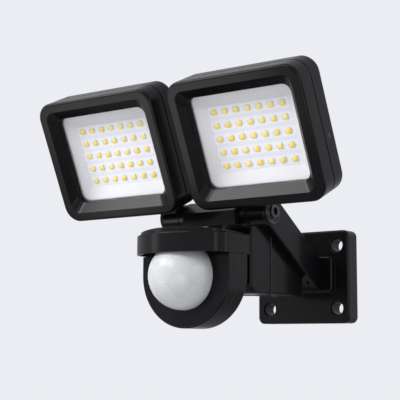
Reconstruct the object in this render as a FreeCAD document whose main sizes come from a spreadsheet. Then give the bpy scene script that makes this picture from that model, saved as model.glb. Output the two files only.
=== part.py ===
import FreeCAD, Part
import os
import Sketcher
from FreeCAD import Placement, Rotation, Vector

# Motion sensor security light: two lamp heads on a cross bar, carried by an arm on a wall plate,
# with a motion sensor hanging under the bar.
# Millimetres. The wall is the plane Y = 0, the light stands out towards -Y, +Z is up and X = 0 is
# the middle of the light. The lamp heads are built upright about their tilt axis and then tilted.

SIZES = {
    # running fit of shafts and screws, and gap between pieces that don't touch
    "fit": 0.05,
    "clearance": 0.3,
    # wall plate
    "plate_width": 88,
    "plate_height": 76.6,
    "plate_thickness": 14.7,
    "plate_corner": 5.5,
    "plate_bevel": 1.4,
    "fixing_inset_x": 11.6,
    "fixing_inset_z": 12.3,
    "fixing_radius": 5.2,
    "fixing_sink_radius": 6.2,
    "fixing_sink_depth": 2,
    "boss_width": 63,
    "boss_height": 29.4,
    "boss_depth": 6.2,
    "boss_centre_z": 1.7,
    "boss_corner": 3.5,
    "cavity_width": 46,
    "cavity_height": 34,
    "cavity_depth": 10.4,
    "gasket_thickness": 1.5,
    "gasket_margin": 2,
    "fixing_boss_wall": 1.2,
    "grommet_radius": 8,
    "grommet_bore": 4,
    "grommet_flange": 10,
    "grommet_flange_depth": 1.5,
    # arm from the wall plate up to the cross bar
    "arm_width": 40.6,
    "arm_wall": 3.2,
    "arm_edge": 1.2,
    "arm_foot_top": 16.2,
    "arm_foot_bottom": -11.9,
    "arm_foot_length": 12,
    "arm_shoulder_out": 82.4,
    "arm_shoulder_z": 55.8,
    "arm_crown_out": 100.4,
    "arm_crown_z": 56.5,
    "arm_elbow_out": 96.9,
    "arm_elbow_z": 35.5,
    "arm_end_top": 50,
    "arm_end_bottom": 33,
    "wire_radius": 4.5,
    "arm_screw_x": 15,
    "arm_screw_top": 9,
    "arm_screw_bottom": -5,
    "arm_screw_length": 16,
    # cross bar and its pivots
    "pivot_out": 137.4,
    "pivot_z": 40.5,
    "bar_half_length": 24,
    "bar_cavity_half_length": 18,
    "bar_front_out": 150.9,
    "bar_rear_out": 123.9,
    "bar_bottom_z": 31.2,
    "bar_brow_z": 42,
    "bar_top_z": 50.5,
    "bar_slope_out": 142.9,
    "bar_wall": 3,
    "bar_edge": 0.8,
    "flange_radius": 10.3,
    "flange_length": 6.3,
    "cover_thickness": 2.5,
    "friction_washer_thickness": 1,
    "knuckle_length": 16,
    "knuckle_radius": 10,
    "washer_radius": 8.2,
    "washer_thickness": 1.6,
    "bolt_radius": 3,
    "bolt_head_radius": 5,
    "bolt_head_length": 2.4,
    "bolt_socket_radius": 2.6,
    "bolt_socket_depth": 2,
    "nut_radius": 5.4,
    "nut_length": 4,
    # lamp heads, upright about the tilt axis
    "head_tilt": 24.9,
    "head_width": 110,
    "head_height": 95,
    "head_depth": 29.2,
    "head_gap": 13.4,
    "head_corner": 12.5,
    "head_rise": 15,
    "head_back_to_pivot": 7.4,
    "head_wall": 3,
    "rim_depth": 13.5,
    "rim_thickness": 3,
    "rim_edge": 2,
    "rim_face_x": 7.5,
    "rim_face_z": 7,
    "opening_corner": 7,
    "step_inset_x": 4.7,
    "step_inset_z": 6.65,
    "step_depth": 5.6,
    "step_corner": 6.5,
    "window_inset_x": 1.2,
    "window_depth": 9.6,
    "window_corner": 6,
    "funnel_wall": 2,
    "glass_border": 2.5,
    "glass_thickness": 2,
    "board_depth": 15.4,
    "tray_inset_x": 8.1,
    "tray_inset_z": 9.65,
    "tray_corner": 2.5,
    "board_border": 4.5,
    "board_thickness": 1.6,
    "chip_margin_x": 3.13,
    "chip_margin_z": 2.35,
    "chip_side": 4.1,
    "chip_thickness": 0.8,
    "seal_thickness": 1.2,
    "seal_inset": 1.3,
    "tub_front_depth": 11,
    "tub_wall": 2,
    "seam_bevel": 0.4,
    "floor_thickness": 2.3,
    "back_edge": 3,
    "vent_depth": 22,
    "vent_drop": 8.6,
    "vent_radius": 2.6,
    "vent_recess": 1.5,
    "post_radius": 3.1,
    "post_inset_x": 6.5,
    "post_inset_z": 6.3,
    "screw_radius": 1.5,
    "screw_head_radius": 2.8,
    "screw_head_length": 1.6,
    "screw_bite": 3.2,
    "ear_centre_x": 39.3,
    "ear_width": 13,
    "ear_thickness": 11,
    "ear_height": 44,
    "ear_round": 4,
    "ear_screw_low": 26,
    "ear_screw_high": 38,
    "ear_screw_length": 9,
    # junction box under the arm
    "box_half_width": 13.5,
    "box_front_out": 113.4,
    "box_seam_out": 85,
    "box_rear_out": 37.4,
    "box_bottom_z": -17.3,
    "box_wall": 2.5,
    "box_front_round": 7,
    "box_side_round": 3,
    "box_seal_thickness": 1.2,
    "box_seal_proud": 0.5,
    "box_post_x": 8.2,
    "box_post_radius": 2.9,
    "box_post_low": -11,
    "box_post_high": 16,
    "box_post_rear_length": 9,
    "driver_x": -4,
    "driver_gap": 2,
    "driver_length": 52,
    "driver_height": 22,
    "driver_thickness": 1.6,
    "transformer_setback": 2.5,
    "transformer_length": 16,
    "transformer_width": 10,
    "transformer_height": 13,
    "transformer_lift": 8,
    "capacitor_gap": 4,
    "capacitor_radius": 4,
    "capacitor_length": 8,
    "capacitor_lift": 13,
    "relay_gap": 4,
    "relay_length": 14,
    "relay_width": 8,
    "relay_height": 10,
    "relay_lift": 3,
    "terminal_setback": 40.5,
    "terminal_length": 18,
    "terminal_width": 6,
    "terminal_height": 9,
    "terminal_screw_radius": 1.3,
    "terminal_screw_depth": 2.5,
    # motion sensor
    "stem_out": 141.4,
    "stem_radius": 6,
    "stem_pin_radius": 3.5,
    "stem_shoulder_z": 12,
    "swivel_radius": 8,
    "swivel_bottom_z": -8,
    "stem_screw_length": 9,
    "stem_washer_radius": 6,
    "stem_washer_thickness": 2,
    "hinge_reach": 10.2,
    "hinge_gap": 4.8,
    "hinge_z": 2,
    "hinge_radius": 3.4,
    "hinge_pin_radius": 1.8,
    "hinge_block_width": 9,
    "hinge_ear_width": 4,
    "sensor_rear_depth": 12.2,
    "sensor_front_depth": 11.2,
    "sensor_radius": 38.8,
    "sensor_centre_z": -6,
    "sensor_shoulder_z": 8,
    "sensor_neck_inset": 2.6,
    "sensor_wall": 2.5,
    "sensor_edge": 1,
    "dome_radius": 24.6,
    "dome_wall": 1.2,
    "dome_rise": 2.7,
    "dome_gap": 0.3,
    "dome_flange_width": 0.5,
    "dome_flange_thickness": 1.5,
    "lens_ring_wall": 3,
    "lens_ring_length": 3.4,
    "sensor_board_width": 48,
    "sensor_board_height": 38,
    "sensor_board_thickness": 1.6,
    "pir_radius": 4.1,
    "pir_length": 4.5,
    "hood_tuck": 5.1,
    "hood_side_reach": 7,
    "hood_bottom_z": 8.3,
    "hood_rim_z": 22.8,
    "hood_wall": 2.7,
    "hood_corner": 16,
    "hood_back_corner": 2,
    "hood_ceiling": 1.5,
    "hood_edge": 1.2,
    "hood_cap_inset": 3,
    "hood_cap_top_z": 27.4,
    "hood_cap_radius": 210,
    "sensor_post_radius": 2.9,
    "sensor_post_high_x": 31.2,
    "sensor_post_high_z": 12.5,
    "sensor_post_low_x": 21,
    "sensor_post_low_z": -31,
    "sensor_screw_length": 16,
    "dial_radius": 4,
    "dial_length": 3.4,
    "dial_spacing": 13,
    "dial_z": -24,
    "dial_slot_width": 1.2,
    "dial_slot_depth": 1,
}

CHIP_COLUMNS = 7
CHIP_ROWS = 5
TERMINALS = 3
SIDES = {"right": 1, "left": -1}

doc = FreeCAD.newDocument("SecurityLight")
sheet = doc.addObject("Spreadsheet::Sheet", "Dimensions")


class Size:
    """A number of the sheet, or one worked out from it, with the formula that gives it."""

    def __init__(self, value, formula):
        self.value = value
        self.formula = formula

    def __add__(self, other):
        other = size_of(other)
        return Size(self.value + other.value, f"({self.formula} + {other.formula})")

    def __sub__(self, other):
        other = size_of(other)
        return Size(self.value - other.value, f"({self.formula} - {other.formula})")

    def __mul__(self, other):
        other = size_of(other)
        return Size(self.value * other.value, f"({self.formula} * {other.formula})")

    def __truediv__(self, other):
        other = size_of(other)
        return Size(self.value / other.value, f"({self.formula} / {other.formula})")

    def __neg__(self):
        return Size(-self.value, f"(-{self.formula})")

    def __radd__(self, other):
        return size_of(other) + self

    def __rsub__(self, other):
        return size_of(other) - self

    def __rmul__(self, other):
        return size_of(other) * self


def size_of(number):
    """The Size of a plain number, or the Size itself."""
    return number if isinstance(number, Size) else Size(number, f"({number})")


class Dimensions:
    """The sheet's names, each as a Size."""


def fill_sheet():
    """Write the driving dimensions into the sheet, one row each with its alias."""
    for row, (name, value) in enumerate(SIZES.items(), start=1):
        sheet.set(f"A{row}", name)
        sheet.set(f"B{row}", str(value))
        sheet.setAlias(f"B{row}", name)
        setattr(Dimensions, name, Size(value, f"Dimensions.{name}"))
    doc.recompute()


fill_sheet()
d = Dimensions


# Helpers: sketches, features and primitives that stay bound to the sheet

def new_body(label):
    """An empty body that carries a sub-part's name."""
    body = doc.addObject("PartDesign::Body", label)
    body.Label = label
    return body


def new_sketch(body, role, offset=0):
    """A sketch on one of the body's own planes, moved along the plane's normal."""
    sketch = body.newObject("Sketcher::SketchObject", body.Label + "_sketch")
    plane = next(item for item in body.Origin.OriginFeatures if item.Role == role)
    sketch.AttachmentSupport = [(plane, "")]
    sketch.MapMode = "FlatFace"
    sketch.setExpression(".AttachmentOffset.Base.z", size_of(offset).formula)
    return sketch


def hold(sketch, kind, geometry, vertex, amount):
    """Fix a point of the sketch at a distance from its origin."""
    amount = size_of(amount)
    index = sketch.addConstraint(
        Sketcher.Constraint(kind, -1, 1, geometry, vertex, amount.value))
    sketch.setExpression(f"Constraints[{index}]", amount.formula)


def hold_point(sketch, geometry, vertex, x, y):
    """Fix both coordinates of a point of the sketch."""
    hold(sketch, "DistanceX", geometry, vertex, x)
    hold(sketch, "DistanceY", geometry, vertex, y)


def hold_radius(sketch, geometry, radius):
    """Fix the radius of a circle or an arc of the sketch."""
    radius = size_of(radius)
    index = sketch.addConstraint(Sketcher.Constraint("Radius", geometry, radius.value))
    sketch.setExpression(f"Constraints[{index}]", radius.formula)


def point_of(x, y):
    """The point that two sizes give."""
    return Vector(size_of(x).value, size_of(y).value, 0)


def add_polygon(sketch, corners):
    """A closed outline of straight lines through the corners."""
    points = [point_of(x, y) for x, y in corners]
    first = sketch.GeometryCount
    count = len(corners)
    for i in range(count):
        sketch.addGeometry(Part.LineSegment(points[i], points[(i + 1) % count]), False)
    for i in range(count):
        following = first + (i + 1) % count
        sketch.addConstraint(Sketcher.Constraint("Coincident", first + i, 2, following, 1))
    for i, (x, y) in enumerate(corners):
        hold_point(sketch, first + i, 1, x, y)


def rectangle(x, y, width, height):
    """The corners of a rectangle about the point x, y."""
    left, right = x - width / 2, x + width / 2
    low, high = y - height / 2, y + height / 2
    return [(left, low), (right, low), (right, high), (left, high)]


def add_rounded(sketch, x, y, width, height, radius):
    """A rectangle about the point x, y with round corners."""
    right, top = width / 2, height / 2
    flat_right, flat_top = right - radius, top - radius
    ends = [
        (x - flat_right, y - top), (x + flat_right, y - top),
        (x + right, y - flat_top), (x + right, y + flat_top),
        (x + flat_right, y + top), (x - flat_right, y + top),
        (x - right, y + flat_top), (x - right, y - flat_top),
    ]
    centres = [(x + flat_right, y - flat_top), (x + flat_right, y + flat_top),
               (x - flat_right, y + flat_top), (x - flat_right, y - flat_top)]
    points = [point_of(*end) for end in ends]
    diagonals = [(1, -1), (1, 1), (-1, 1), (-1, -1)]
    for side in range(4):
        start, end, following = (points[(side * 2 + step) % 8] for step in range(3))
        line = sketch.addGeometry(Part.LineSegment(start, end), False)
        diagonal = Vector(*diagonals[side], 0).normalize() * size_of(radius).value
        middle = point_of(*centres[side]) + diagonal
        arc = sketch.addGeometry(Part.Arc(end, middle, following), False)
        hold_point(sketch, line, 1, *ends[side * 2])
        hold_point(sketch, line, 2, *ends[side * 2 + 1])
        sketch.addConstraint(Sketcher.Constraint("Coincident", line, 2, arc, 1))
        hold(sketch, "DistanceX", arc, 3, centres[side][0])
        if side:
            sketch.addConstraint(Sketcher.Constraint("Coincident", arc - 2, 2, line, 1))
    sketch.addConstraint(Sketcher.Constraint("Coincident", arc, 2, 0, 1))


def add_circle(sketch, x, y, radius):
    """A circle about the point x, y."""
    circle = Part.Circle(point_of(x, y), Vector(0, 0, 1), size_of(radius).value)
    index = sketch.addGeometry(circle, False)
    hold_point(sketch, index, 3, x, y)
    hold_radius(sketch, index, radius)


def add_pad(sketch, length):
    """Grow the sketch along its normal."""
    body = sketch.getParentGeoFeatureGroup()
    pad = body.newObject("PartDesign::Pad", body.Label + "_pad")
    pad.Profile = sketch
    pad.setExpression("Length", size_of(length).formula)
    body.Tip = pad
    doc.recompute()
    return pad


def add_pocket(sketch, length):
    """Cut the sketch against its normal, and make sure that material went."""
    body = sketch.getParentGeoFeatureGroup()
    before = body.Tip.Shape.Volume
    pocket = body.newObject("PartDesign::Pocket", body.Label + "_pocket")
    pocket.Profile = sketch
    pocket.setExpression("Length", size_of(length).formula)
    body.Tip = pocket
    doc.recompute()
    if not pocket.Shape.Volume < before:
        raise RuntimeError(body.Label + ": a pocket cuts nothing")
    return pocket


def add_funnel(first, second):
    """Cut a loft between two sketches of as many corners, and make sure that material went."""
    body = first.getParentGeoFeatureGroup()
    before = body.Tip.Shape.Volume
    loft = body.newObject("PartDesign::SubtractiveLoft", body.Label + "_funnel")
    loft.Profile = first
    loft.Sections = [second]
    loft.Ruled = True
    body.Tip = loft
    doc.recompute()
    if not loft.Shape.Volume < before:
        raise RuntimeError(body.Label + ": a funnel cuts nothing")
    return loft


def direction(edge):
    """The unit direction of a straight edge, or None."""
    along = edge.Vertexes[-1].Point - edge.Vertexes[0].Point
    if along.Length < edge.Length - 0.0001:
        return None
    return along.normalize()


def edges_along(shape, axis):
    """Names of the straight edges parallel to an axis."""
    names = []
    for index, edge in enumerate(shape.Edges, start=1):
        along = direction(edge)
        if along is not None and abs(along.dot(axis)) > 0.999:
            names.append(f"Edge{index}")
    return names


def edges_at(shape, axis, value):
    """Names of the edges that lie wholly in the plane where the axis coordinate is the value."""
    names = []
    for index, edge in enumerate(shape.Edges, start=1):
        box = edge.BoundBox
        low = Vector(box.XMin, box.YMin, box.ZMin).dot(axis)
        high = Vector(box.XMax, box.YMax, box.ZMax).dot(axis)
        if abs(low - value) < 0.01 and abs(high - value) < 0.01:
            names.append(f"Edge{index}")
    return names


def dress(body, kind, edges, amount):
    """Round or bevel edges of the body's newest feature."""
    base = body.Tip
    feature = body.newObject("PartDesign::" + kind, body.Label + "_" + kind.lower())
    feature.Base = (base, edges)
    size_property = "Radius" if kind == "Fillet" else "Size"
    feature.setExpression(size_property, size_of(amount).formula)
    body.Tip = feature
    doc.recompute()
    if "Invalid" in feature.State or not edges:
        raise RuntimeError(f"{body.Label}: {kind} of {len(edges)} edges failed")
    return feature


X = Vector(1, 0, 0)
Y = Vector(0, 1, 0)
Z = Vector(0, 0, 1)
TURNS = {
    "x": Rotation(Y, 90),
    "-y": Rotation(X, 90),
    "y": Rotation(X, -90),
    "z": Rotation(),
}


def move(thing, x, y, z):
    """Bind the place of an object to the sheet."""
    for axis, amount in zip("xyz", (x, y, z)):
        thing.setExpression(f"Placement.Base.{axis}", size_of(amount).formula)


def cylinder(label, axis, start, radius, length):
    """A cylinder from a start point along an axis."""
    rod = doc.addObject("Part::Cylinder", label)
    rod.Label = label
    rod.Placement = Placement(Vector(), TURNS[axis])
    rod.setExpression("Radius", size_of(radius).formula)
    rod.setExpression("Height", size_of(length).formula)
    move(rod, *start)
    return rod


def box(label, corner, extents):
    """A box from its lowest corner."""
    block = doc.addObject("Part::Box", label)
    block.Label = label
    for name, amount in zip(("Length", "Width", "Height"), extents):
        block.setExpression(name, size_of(amount).formula)
    move(block, *corner)
    return block


def fuse(label, shapes):
    """One solid from several that meet."""
    result = doc.addObject("Part::MultiFuse", label)
    result.Label = label
    result.Shapes = shapes
    result.Refine = True
    return result


def cut(label, base, tool):
    """The base without the tool, which has to take material away."""
    result = doc.addObject("Part::Cut", label)
    result.Label = label
    result.Base = base
    result.Tool = tool
    doc.recompute()
    if not result.Shape.Volume < base.Shape.Volume:
        raise RuntimeError(label + ": a cut takes nothing away")
    return result


def common(label, shapes):
    """What several solids share."""
    result = doc.addObject("Part::MultiCommon", label)
    result.Label = label
    result.Shapes = shapes
    return result


def group(label, members):
    """Separate solids of one kind under one name."""
    result = doc.addObject("Part::Compound", label)
    result.Label = label
    result.Links = members
    return result


def screw(label, axis, start, shaft_length, shaft_radius=None, head_radius=None, head_length=None):
    """A screw whose head starts at a point and whose shaft runs on along the axis."""
    head_length = head_length or d.screw_head_length
    head = cylinder(label + "_head", axis, start, head_radius or d.screw_head_radius, head_length)
    length = head_length + shaft_length
    shaft = cylinder(label + "_shaft", axis, start, shaft_radius or d.screw_radius, length)
    return fuse(label, [head, shaft])


def corners_of(x, z_low, z_high):
    """Four points at plus and minus x and two heights."""
    return [(side * x, z) for z in (z_low, z_high) for side in (1, -1)]


# Wall plate, its gasket and its grommet

def fixing_points():
    """Centres of the four wall fixings."""
    top = d.plate_height / 2 - d.fixing_inset_z
    return corners_of(d.plate_width / 2 - d.fixing_inset_x, -top, top)


def arm_screw_points():
    """Centres of the screws that hold the arm on the boss."""
    return corners_of(d.arm_screw_x, d.arm_screw_bottom, d.arm_screw_top)


BOSS_OUT = d.plate_thickness + d.boss_depth
FIXING_BOSS_RADIUS = d.fixing_radius + d.fixing_boss_wall


def make_wall_plate():
    """Rounded plate with a boss for the arm, sunk fixing holes and a hollow back."""
    body = new_body("wall_plate")
    sketch = new_sketch(body, "XZ_Plane")
    add_polygon(sketch, rectangle(size_of(0), size_of(0), d.plate_width, d.plate_height))
    add_pad(sketch, d.plate_thickness)
    dress(body, "Fillet", edges_along(body.Tip.Shape, Y), d.plate_corner)
    dress(body, "Chamfer", edges_at(body.Tip.Shape, Y, -d.plate_thickness.value), d.plate_bevel)
    sketch = new_sketch(body, "XZ_Plane", d.plate_thickness / 2)
    add_polygon(sketch, rectangle(size_of(0), d.boss_centre_z, d.boss_width, d.boss_height))
    add_pad(sketch, BOSS_OUT - d.plate_thickness / 2)
    boss_edges = [name for name in edges_along(body.Tip.Shape, Y)
                  if body.Tip.Shape.getElement(name).BoundBox.YMin < -BOSS_OUT.value + 0.01]
    dress(body, "Fillet", boss_edges, d.boss_corner)
    dress(body, "Fillet", edges_at(body.Tip.Shape, Y, -BOSS_OUT.value), d.plate_bevel)
    sketch = new_sketch(body, "XZ_Plane", d.plate_thickness)
    for x, z in fixing_points():
        add_circle(sketch, x, z, d.fixing_radius)
    add_pocket(sketch, d.plate_thickness)
    sketch = new_sketch(body, "XZ_Plane", d.plate_thickness)
    for x, z in fixing_points():
        add_circle(sketch, x, z, d.fixing_sink_radius)
    add_pocket(sketch, d.fixing_sink_depth)
    sketch = new_sketch(body, "XZ_Plane", d.gasket_thickness)
    recess = rectangle(size_of(0), size_of(0), d.plate_width - d.gasket_margin * 2,
                       d.plate_height - d.gasket_margin * 2)
    add_polygon(sketch, recess)
    for x, z in fixing_points():
        add_circle(sketch, x, z, FIXING_BOSS_RADIUS)
    add_pocket(sketch, d.gasket_thickness)
    sketch = new_sketch(body, "XZ_Plane", d.cavity_depth)
    cavity = rectangle(size_of(0), d.boss_centre_z, d.cavity_width, d.cavity_height)
    add_polygon(sketch, cavity)
    add_pocket(sketch, d.cavity_depth)
    sketch = new_sketch(body, "XZ_Plane", BOSS_OUT)
    add_circle(sketch, 0, d.boss_centre_z, d.grommet_radius + d.fit)
    for x, z in arm_screw_points():
        add_circle(sketch, x, z, d.screw_radius + d.fit)
    add_pocket(sketch, BOSS_OUT)
    return body


def make_wall_gasket():
    """Foam sheet in the plate's back, open where the plate is hollow and at the fixings."""
    body = new_body("wall_gasket")
    inset = d.gasket_margin + d.clearance
    sketch = new_sketch(body, "XZ_Plane")
    add_polygon(sketch, rectangle(size_of(0), size_of(0), d.plate_width - inset * 2,
                                  d.plate_height - inset * 2))
    add_pad(sketch, d.gasket_thickness)
    sketch = new_sketch(body, "XZ_Plane", d.gasket_thickness)
    add_polygon(sketch, rectangle(size_of(0), d.boss_centre_z, d.cavity_width, d.cavity_height))
    for x, z in fixing_points():
        add_circle(sketch, x, z, FIXING_BOSS_RADIUS + d.clearance)
    add_pocket(sketch, d.gasket_thickness)
    return body


def make_cable_grommet():
    """Rubber bush in the boss that the supply enters through, with a flange in the plate."""
    start = (0, -d.cavity_depth, d.boss_centre_z)
    tube = cylinder("grommet_tube", "-y", start, d.grommet_radius,
                    BOSS_OUT - d.cavity_depth)
    flange_start = (0, -d.cavity_depth + d.grommet_flange_depth, d.boss_centre_z)
    flange = cylinder("grommet_flange_disc", "-y", flange_start, d.grommet_flange,
                      d.grommet_flange_depth)
    bore = cylinder("grommet_hole", "-y", (0, 0, d.boss_centre_z), d.grommet_bore, BOSS_OUT * 2)
    return cut("cable_grommet", fuse("grommet_bush", [tube, flange]), bore)


def make_arm_screws():
    """Four screws from the plate's hollow back into the arm's foot."""
    members = []
    for number, (x, z) in enumerate(arm_screw_points(), start=1):
        start = (x, -d.cavity_depth + d.screw_head_length, z)
        members.append(screw(f"arm_screw_{number}", "-y", start, d.arm_screw_length))
    return group("arm_screws", members)


# Arm

def arm_underside(out):
    """Height of the arm's sloping underside at a distance from the wall."""
    run = d.arm_elbow_out - BOSS_OUT
    share = (out - BOSS_OUT) / run
    return d.arm_foot_bottom + (d.arm_elbow_z - d.arm_foot_bottom) * share


def arm_topside(out):
    """Height of the arm's sloping upper side at a distance from the wall."""
    run = d.arm_shoulder_out - BOSS_OUT
    share = (out - BOSS_OUT) / run
    return d.arm_foot_top + (d.arm_shoulder_z - d.arm_foot_top) * share


def bar_screw_points():
    """Centres of the screws between the cross bar and the arm."""
    height = (d.arm_end_top + d.arm_end_bottom) / 2
    return [(side * d.arm_screw_x, height) for side in (1, -1)]


def make_arm():
    """Hollow beam that slopes up from the boss and levels out behind the cross bar."""
    body = new_body("arm")
    half = d.arm_width / 2
    sketch = new_sketch(body, "YZ_Plane", -half)
    add_polygon(sketch, [
        (-BOSS_OUT, d.arm_foot_bottom),
        (-BOSS_OUT, d.arm_foot_top),
        (-d.arm_shoulder_out, d.arm_shoulder_z),
        (-d.arm_crown_out, d.arm_crown_z),
        (-d.bar_rear_out, d.arm_end_top),
        (-d.bar_rear_out, d.arm_end_bottom),
        (-d.arm_elbow_out, d.arm_elbow_z),
    ])
    add_pad(sketch, d.arm_width)
    side_edges = edges_at(body.Tip.Shape, X, half.value) + edges_at(body.Tip.Shape, X, -half.value)
    end_free = [name for name in side_edges
                if body.Tip.Shape.getElement(name).BoundBox.YLength > 1]
    dress(body, "Fillet", end_free, d.arm_edge)
    inner = half - d.arm_wall
    foot = BOSS_OUT + d.arm_foot_length
    sketch = new_sketch(body, "YZ_Plane", inner)
    rise = d.arm_wall * 1.25
    add_polygon(sketch, [
        (-foot, arm_underside(foot) + rise),
        (-foot, arm_topside(foot) - rise),
        (-d.arm_shoulder_out, d.arm_shoulder_z - rise),
        (-d.arm_crown_out, d.arm_crown_z - rise),
        (-(d.bar_rear_out - d.arm_wall), d.arm_end_top - d.arm_wall),
        (-(d.bar_rear_out - d.arm_wall), d.arm_end_bottom + d.arm_wall),
        (-d.arm_elbow_out, d.arm_elbow_z + rise),
    ])
    add_pocket(sketch, inner * 2)
    sketch = new_sketch(body, "XZ_Plane", foot)
    add_circle(sketch, 0, d.boss_centre_z, d.wire_radius)
    for x, z in arm_screw_points():
        add_circle(sketch, x, z, d.screw_radius + d.fit)
    add_pocket(sketch, d.arm_foot_length)
    sketch = new_sketch(body, "XZ_Plane", d.bar_rear_out)
    add_circle(sketch, 0, bar_screw_points()[0][1], d.wire_radius)
    for x, z in bar_screw_points():
        add_circle(sketch, x, z, d.screw_radius + d.fit)
    add_pocket(sketch, d.arm_wall)
    hollow_z = d.arm_elbow_z + rise * 2
    sketch = new_sketch(body, "XY_Plane", hollow_z)
    box_middle = (d.box_seam_out + d.box_front_out) / 2
    mouth = rectangle(size_of(0), -box_middle, d.box_half_width, d.box_half_width)
    add_polygon(sketch, mouth)
    add_pocket(sketch, hollow_z - arm_underside(d.box_seam_out))
    return body


# Cross bar, its cover with the sensor's stem, and the pivots of the two heads

FLANGE_X = d.bar_half_length + d.flange_length
KNUCKLE_X = FLANGE_X + d.friction_washer_thickness
WASHER_X = KNUCKLE_X + d.knuckle_length
BOLT_HEAD_X = WASHER_X + d.washer_thickness
BAR_SHELL_Z = d.bar_bottom_z + d.cover_thickness
BAR_END_X = (d.bar_cavity_half_length + d.bar_half_length) / 2


def cover_screw_points():
    """Centres of the screws under the bar, as X and distance from the wall."""
    inset = d.bar_wall + d.screw_radius
    outs = (d.bar_front_out - inset, d.bar_rear_out + inset)
    return [(side * BAR_END_X, out) for out in outs for side in (1, -1)]


def make_cross_bar():
    """Hollow bar with a sloping brow, a round flange at each end and an open underside."""
    body = new_body("cross_bar")
    sketch = new_sketch(body, "YZ_Plane", -d.bar_half_length)
    add_polygon(sketch, [
        (-d.bar_front_out, BAR_SHELL_Z),
        (-d.bar_front_out, d.bar_brow_z),
        (-d.bar_slope_out, d.bar_top_z),
        (-d.bar_rear_out, d.bar_top_z),
        (-d.bar_rear_out, BAR_SHELL_Z),
    ])
    add_pad(sketch, d.bar_half_length * 2)
    end_edges = (edges_at(body.Tip.Shape, X, d.bar_half_length.value)
                 + edges_at(body.Tip.Shape, X, -d.bar_half_length.value))
    dress(body, "Fillet", end_edges, d.bar_edge)
    for start in (-FLANGE_X, d.bar_half_length):
        sketch = new_sketch(body, "YZ_Plane", start)
        add_circle(sketch, -d.pivot_out, d.pivot_z, d.flange_radius)
        add_pad(sketch, d.flange_length)
    sketch = new_sketch(body, "YZ_Plane", d.bar_cavity_half_length)
    add_polygon(sketch, [
        (-(d.bar_front_out - d.bar_wall), BAR_SHELL_Z - d.cover_thickness),
        (-(d.bar_front_out - d.bar_wall), d.bar_brow_z - d.bar_wall / 2),
        (-(d.bar_slope_out - d.bar_wall / 2), d.bar_top_z - d.bar_wall),
        (-(d.bar_rear_out + d.bar_wall), d.bar_top_z - d.bar_wall),
        (-(d.bar_rear_out + d.bar_wall), BAR_SHELL_Z - d.cover_thickness),
    ])
    add_pocket(sketch, d.bar_cavity_half_length * 2)
    sketch = new_sketch(body, "YZ_Plane", FLANGE_X)
    add_circle(sketch, -d.pivot_out, d.pivot_z, d.bolt_radius + d.fit)
    add_pocket(sketch, FLANGE_X * 2)
    sketch = new_sketch(body, "XZ_Plane", d.bar_rear_out + d.bar_wall)
    add_circle(sketch, 0, bar_screw_points()[0][1], d.wire_radius)
    for x, z in bar_screw_points():
        add_circle(sketch, x, z, d.screw_radius + d.fit)
    add_pocket(sketch, d.bar_wall)
    sketch = new_sketch(body, "XY_Plane", BAR_SHELL_Z + d.screw_bite)
    for x, out in cover_screw_points():
        add_circle(sketch, x, -out, d.screw_radius + d.fit)
    add_pocket(sketch, d.screw_bite)
    return body


def make_cross_bar_cover():
    """Plate that closes the bar from below, in one piece with the stem of the sensor."""
    body = new_body("cross_bar_cover")
    sketch = new_sketch(body, "XY_Plane", d.bar_bottom_z)
    depth = d.bar_front_out - d.bar_rear_out
    middle = (d.bar_front_out + d.bar_rear_out) / 2
    add_polygon(sketch, rectangle(size_of(0), -middle, d.bar_half_length * 2, depth))
    add_pad(sketch, d.cover_thickness)
    sketch = new_sketch(body, "XY_Plane", d.stem_shoulder_z)
    add_circle(sketch, 0, -d.stem_out, d.stem_radius)
    add_pad(sketch, d.bar_bottom_z + d.cover_thickness / 2 - d.stem_shoulder_z)
    pin_bottom = d.swivel_bottom_z - d.clearance
    sketch = new_sketch(body, "XY_Plane", pin_bottom)
    add_circle(sketch, 0, -d.stem_out, d.stem_pin_radius)
    add_pad(sketch, d.stem_shoulder_z - pin_bottom + d.cover_thickness)
    sketch = new_sketch(body, "XY_Plane", pin_bottom + d.stem_screw_length)
    add_circle(sketch, 0, -d.stem_out, d.screw_radius + d.fit)
    add_pocket(sketch, d.stem_screw_length)
    sketch = new_sketch(body, "XY_Plane", BAR_SHELL_Z)
    for x, out in cover_screw_points():
        add_circle(sketch, x, -out, d.screw_radius + d.fit)
    add_pocket(sketch, d.cover_thickness)
    sketch = new_sketch(body, "XY_Plane", d.bar_bottom_z + d.screw_head_length)
    for x, out in cover_screw_points():
        add_circle(sketch, x, -out, d.screw_head_radius + d.fit)
    add_pocket(sketch, d.screw_head_length)
    return body


def make_cover_screws():
    """Four sunk screws that hold the cover under the bar."""
    members = []
    shaft_length = d.cover_thickness - d.screw_head_length + d.screw_bite
    for number, (x, out) in enumerate(cover_screw_points(), start=1):
        start = (x, -out, d.bar_bottom_z)
        members.append(screw(f"cover_screw_{number}", "z", start, shaft_length))
    return group("cover_screws", members)


def make_bar_screws():
    """Two screws from inside the bar into the end wall of the arm."""
    members = []
    for number, (x, z) in enumerate(bar_screw_points(), start=1):
        start = (x, -(d.bar_rear_out + d.bar_wall + d.screw_head_length), z)
        members.append(screw(f"bar_screw_{number}", "y", start, d.bar_wall + d.arm_wall))
    return group("bar_screws", members)


def outward_rod(label, side, inner_x, length, radius):
    """A cylinder on the tilt axis, from an inner X outwards on one side of the light."""
    start_x = inner_x if side > 0 else -(inner_x + length)
    return cylinder(label, "x", (start_x, -d.pivot_out, d.pivot_z), radius, length)


def pivot_rings(label, inner_x, length, radius):
    """A ring on the tilt axis at each end of the bar, round the pivot bolt."""
    members = []
    for name, side in SIDES.items():
        disc = outward_rod(f"{label}_{name}_disc", side, inner_x, length, radius)
        hole = outward_rod(f"{label}_{name}_hole", side, inner_x - length, length * 3,
                           d.bolt_radius + d.fit)
        members.append(cut(f"{label}_{name}", disc, hole))
    return group(label, members)


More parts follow.
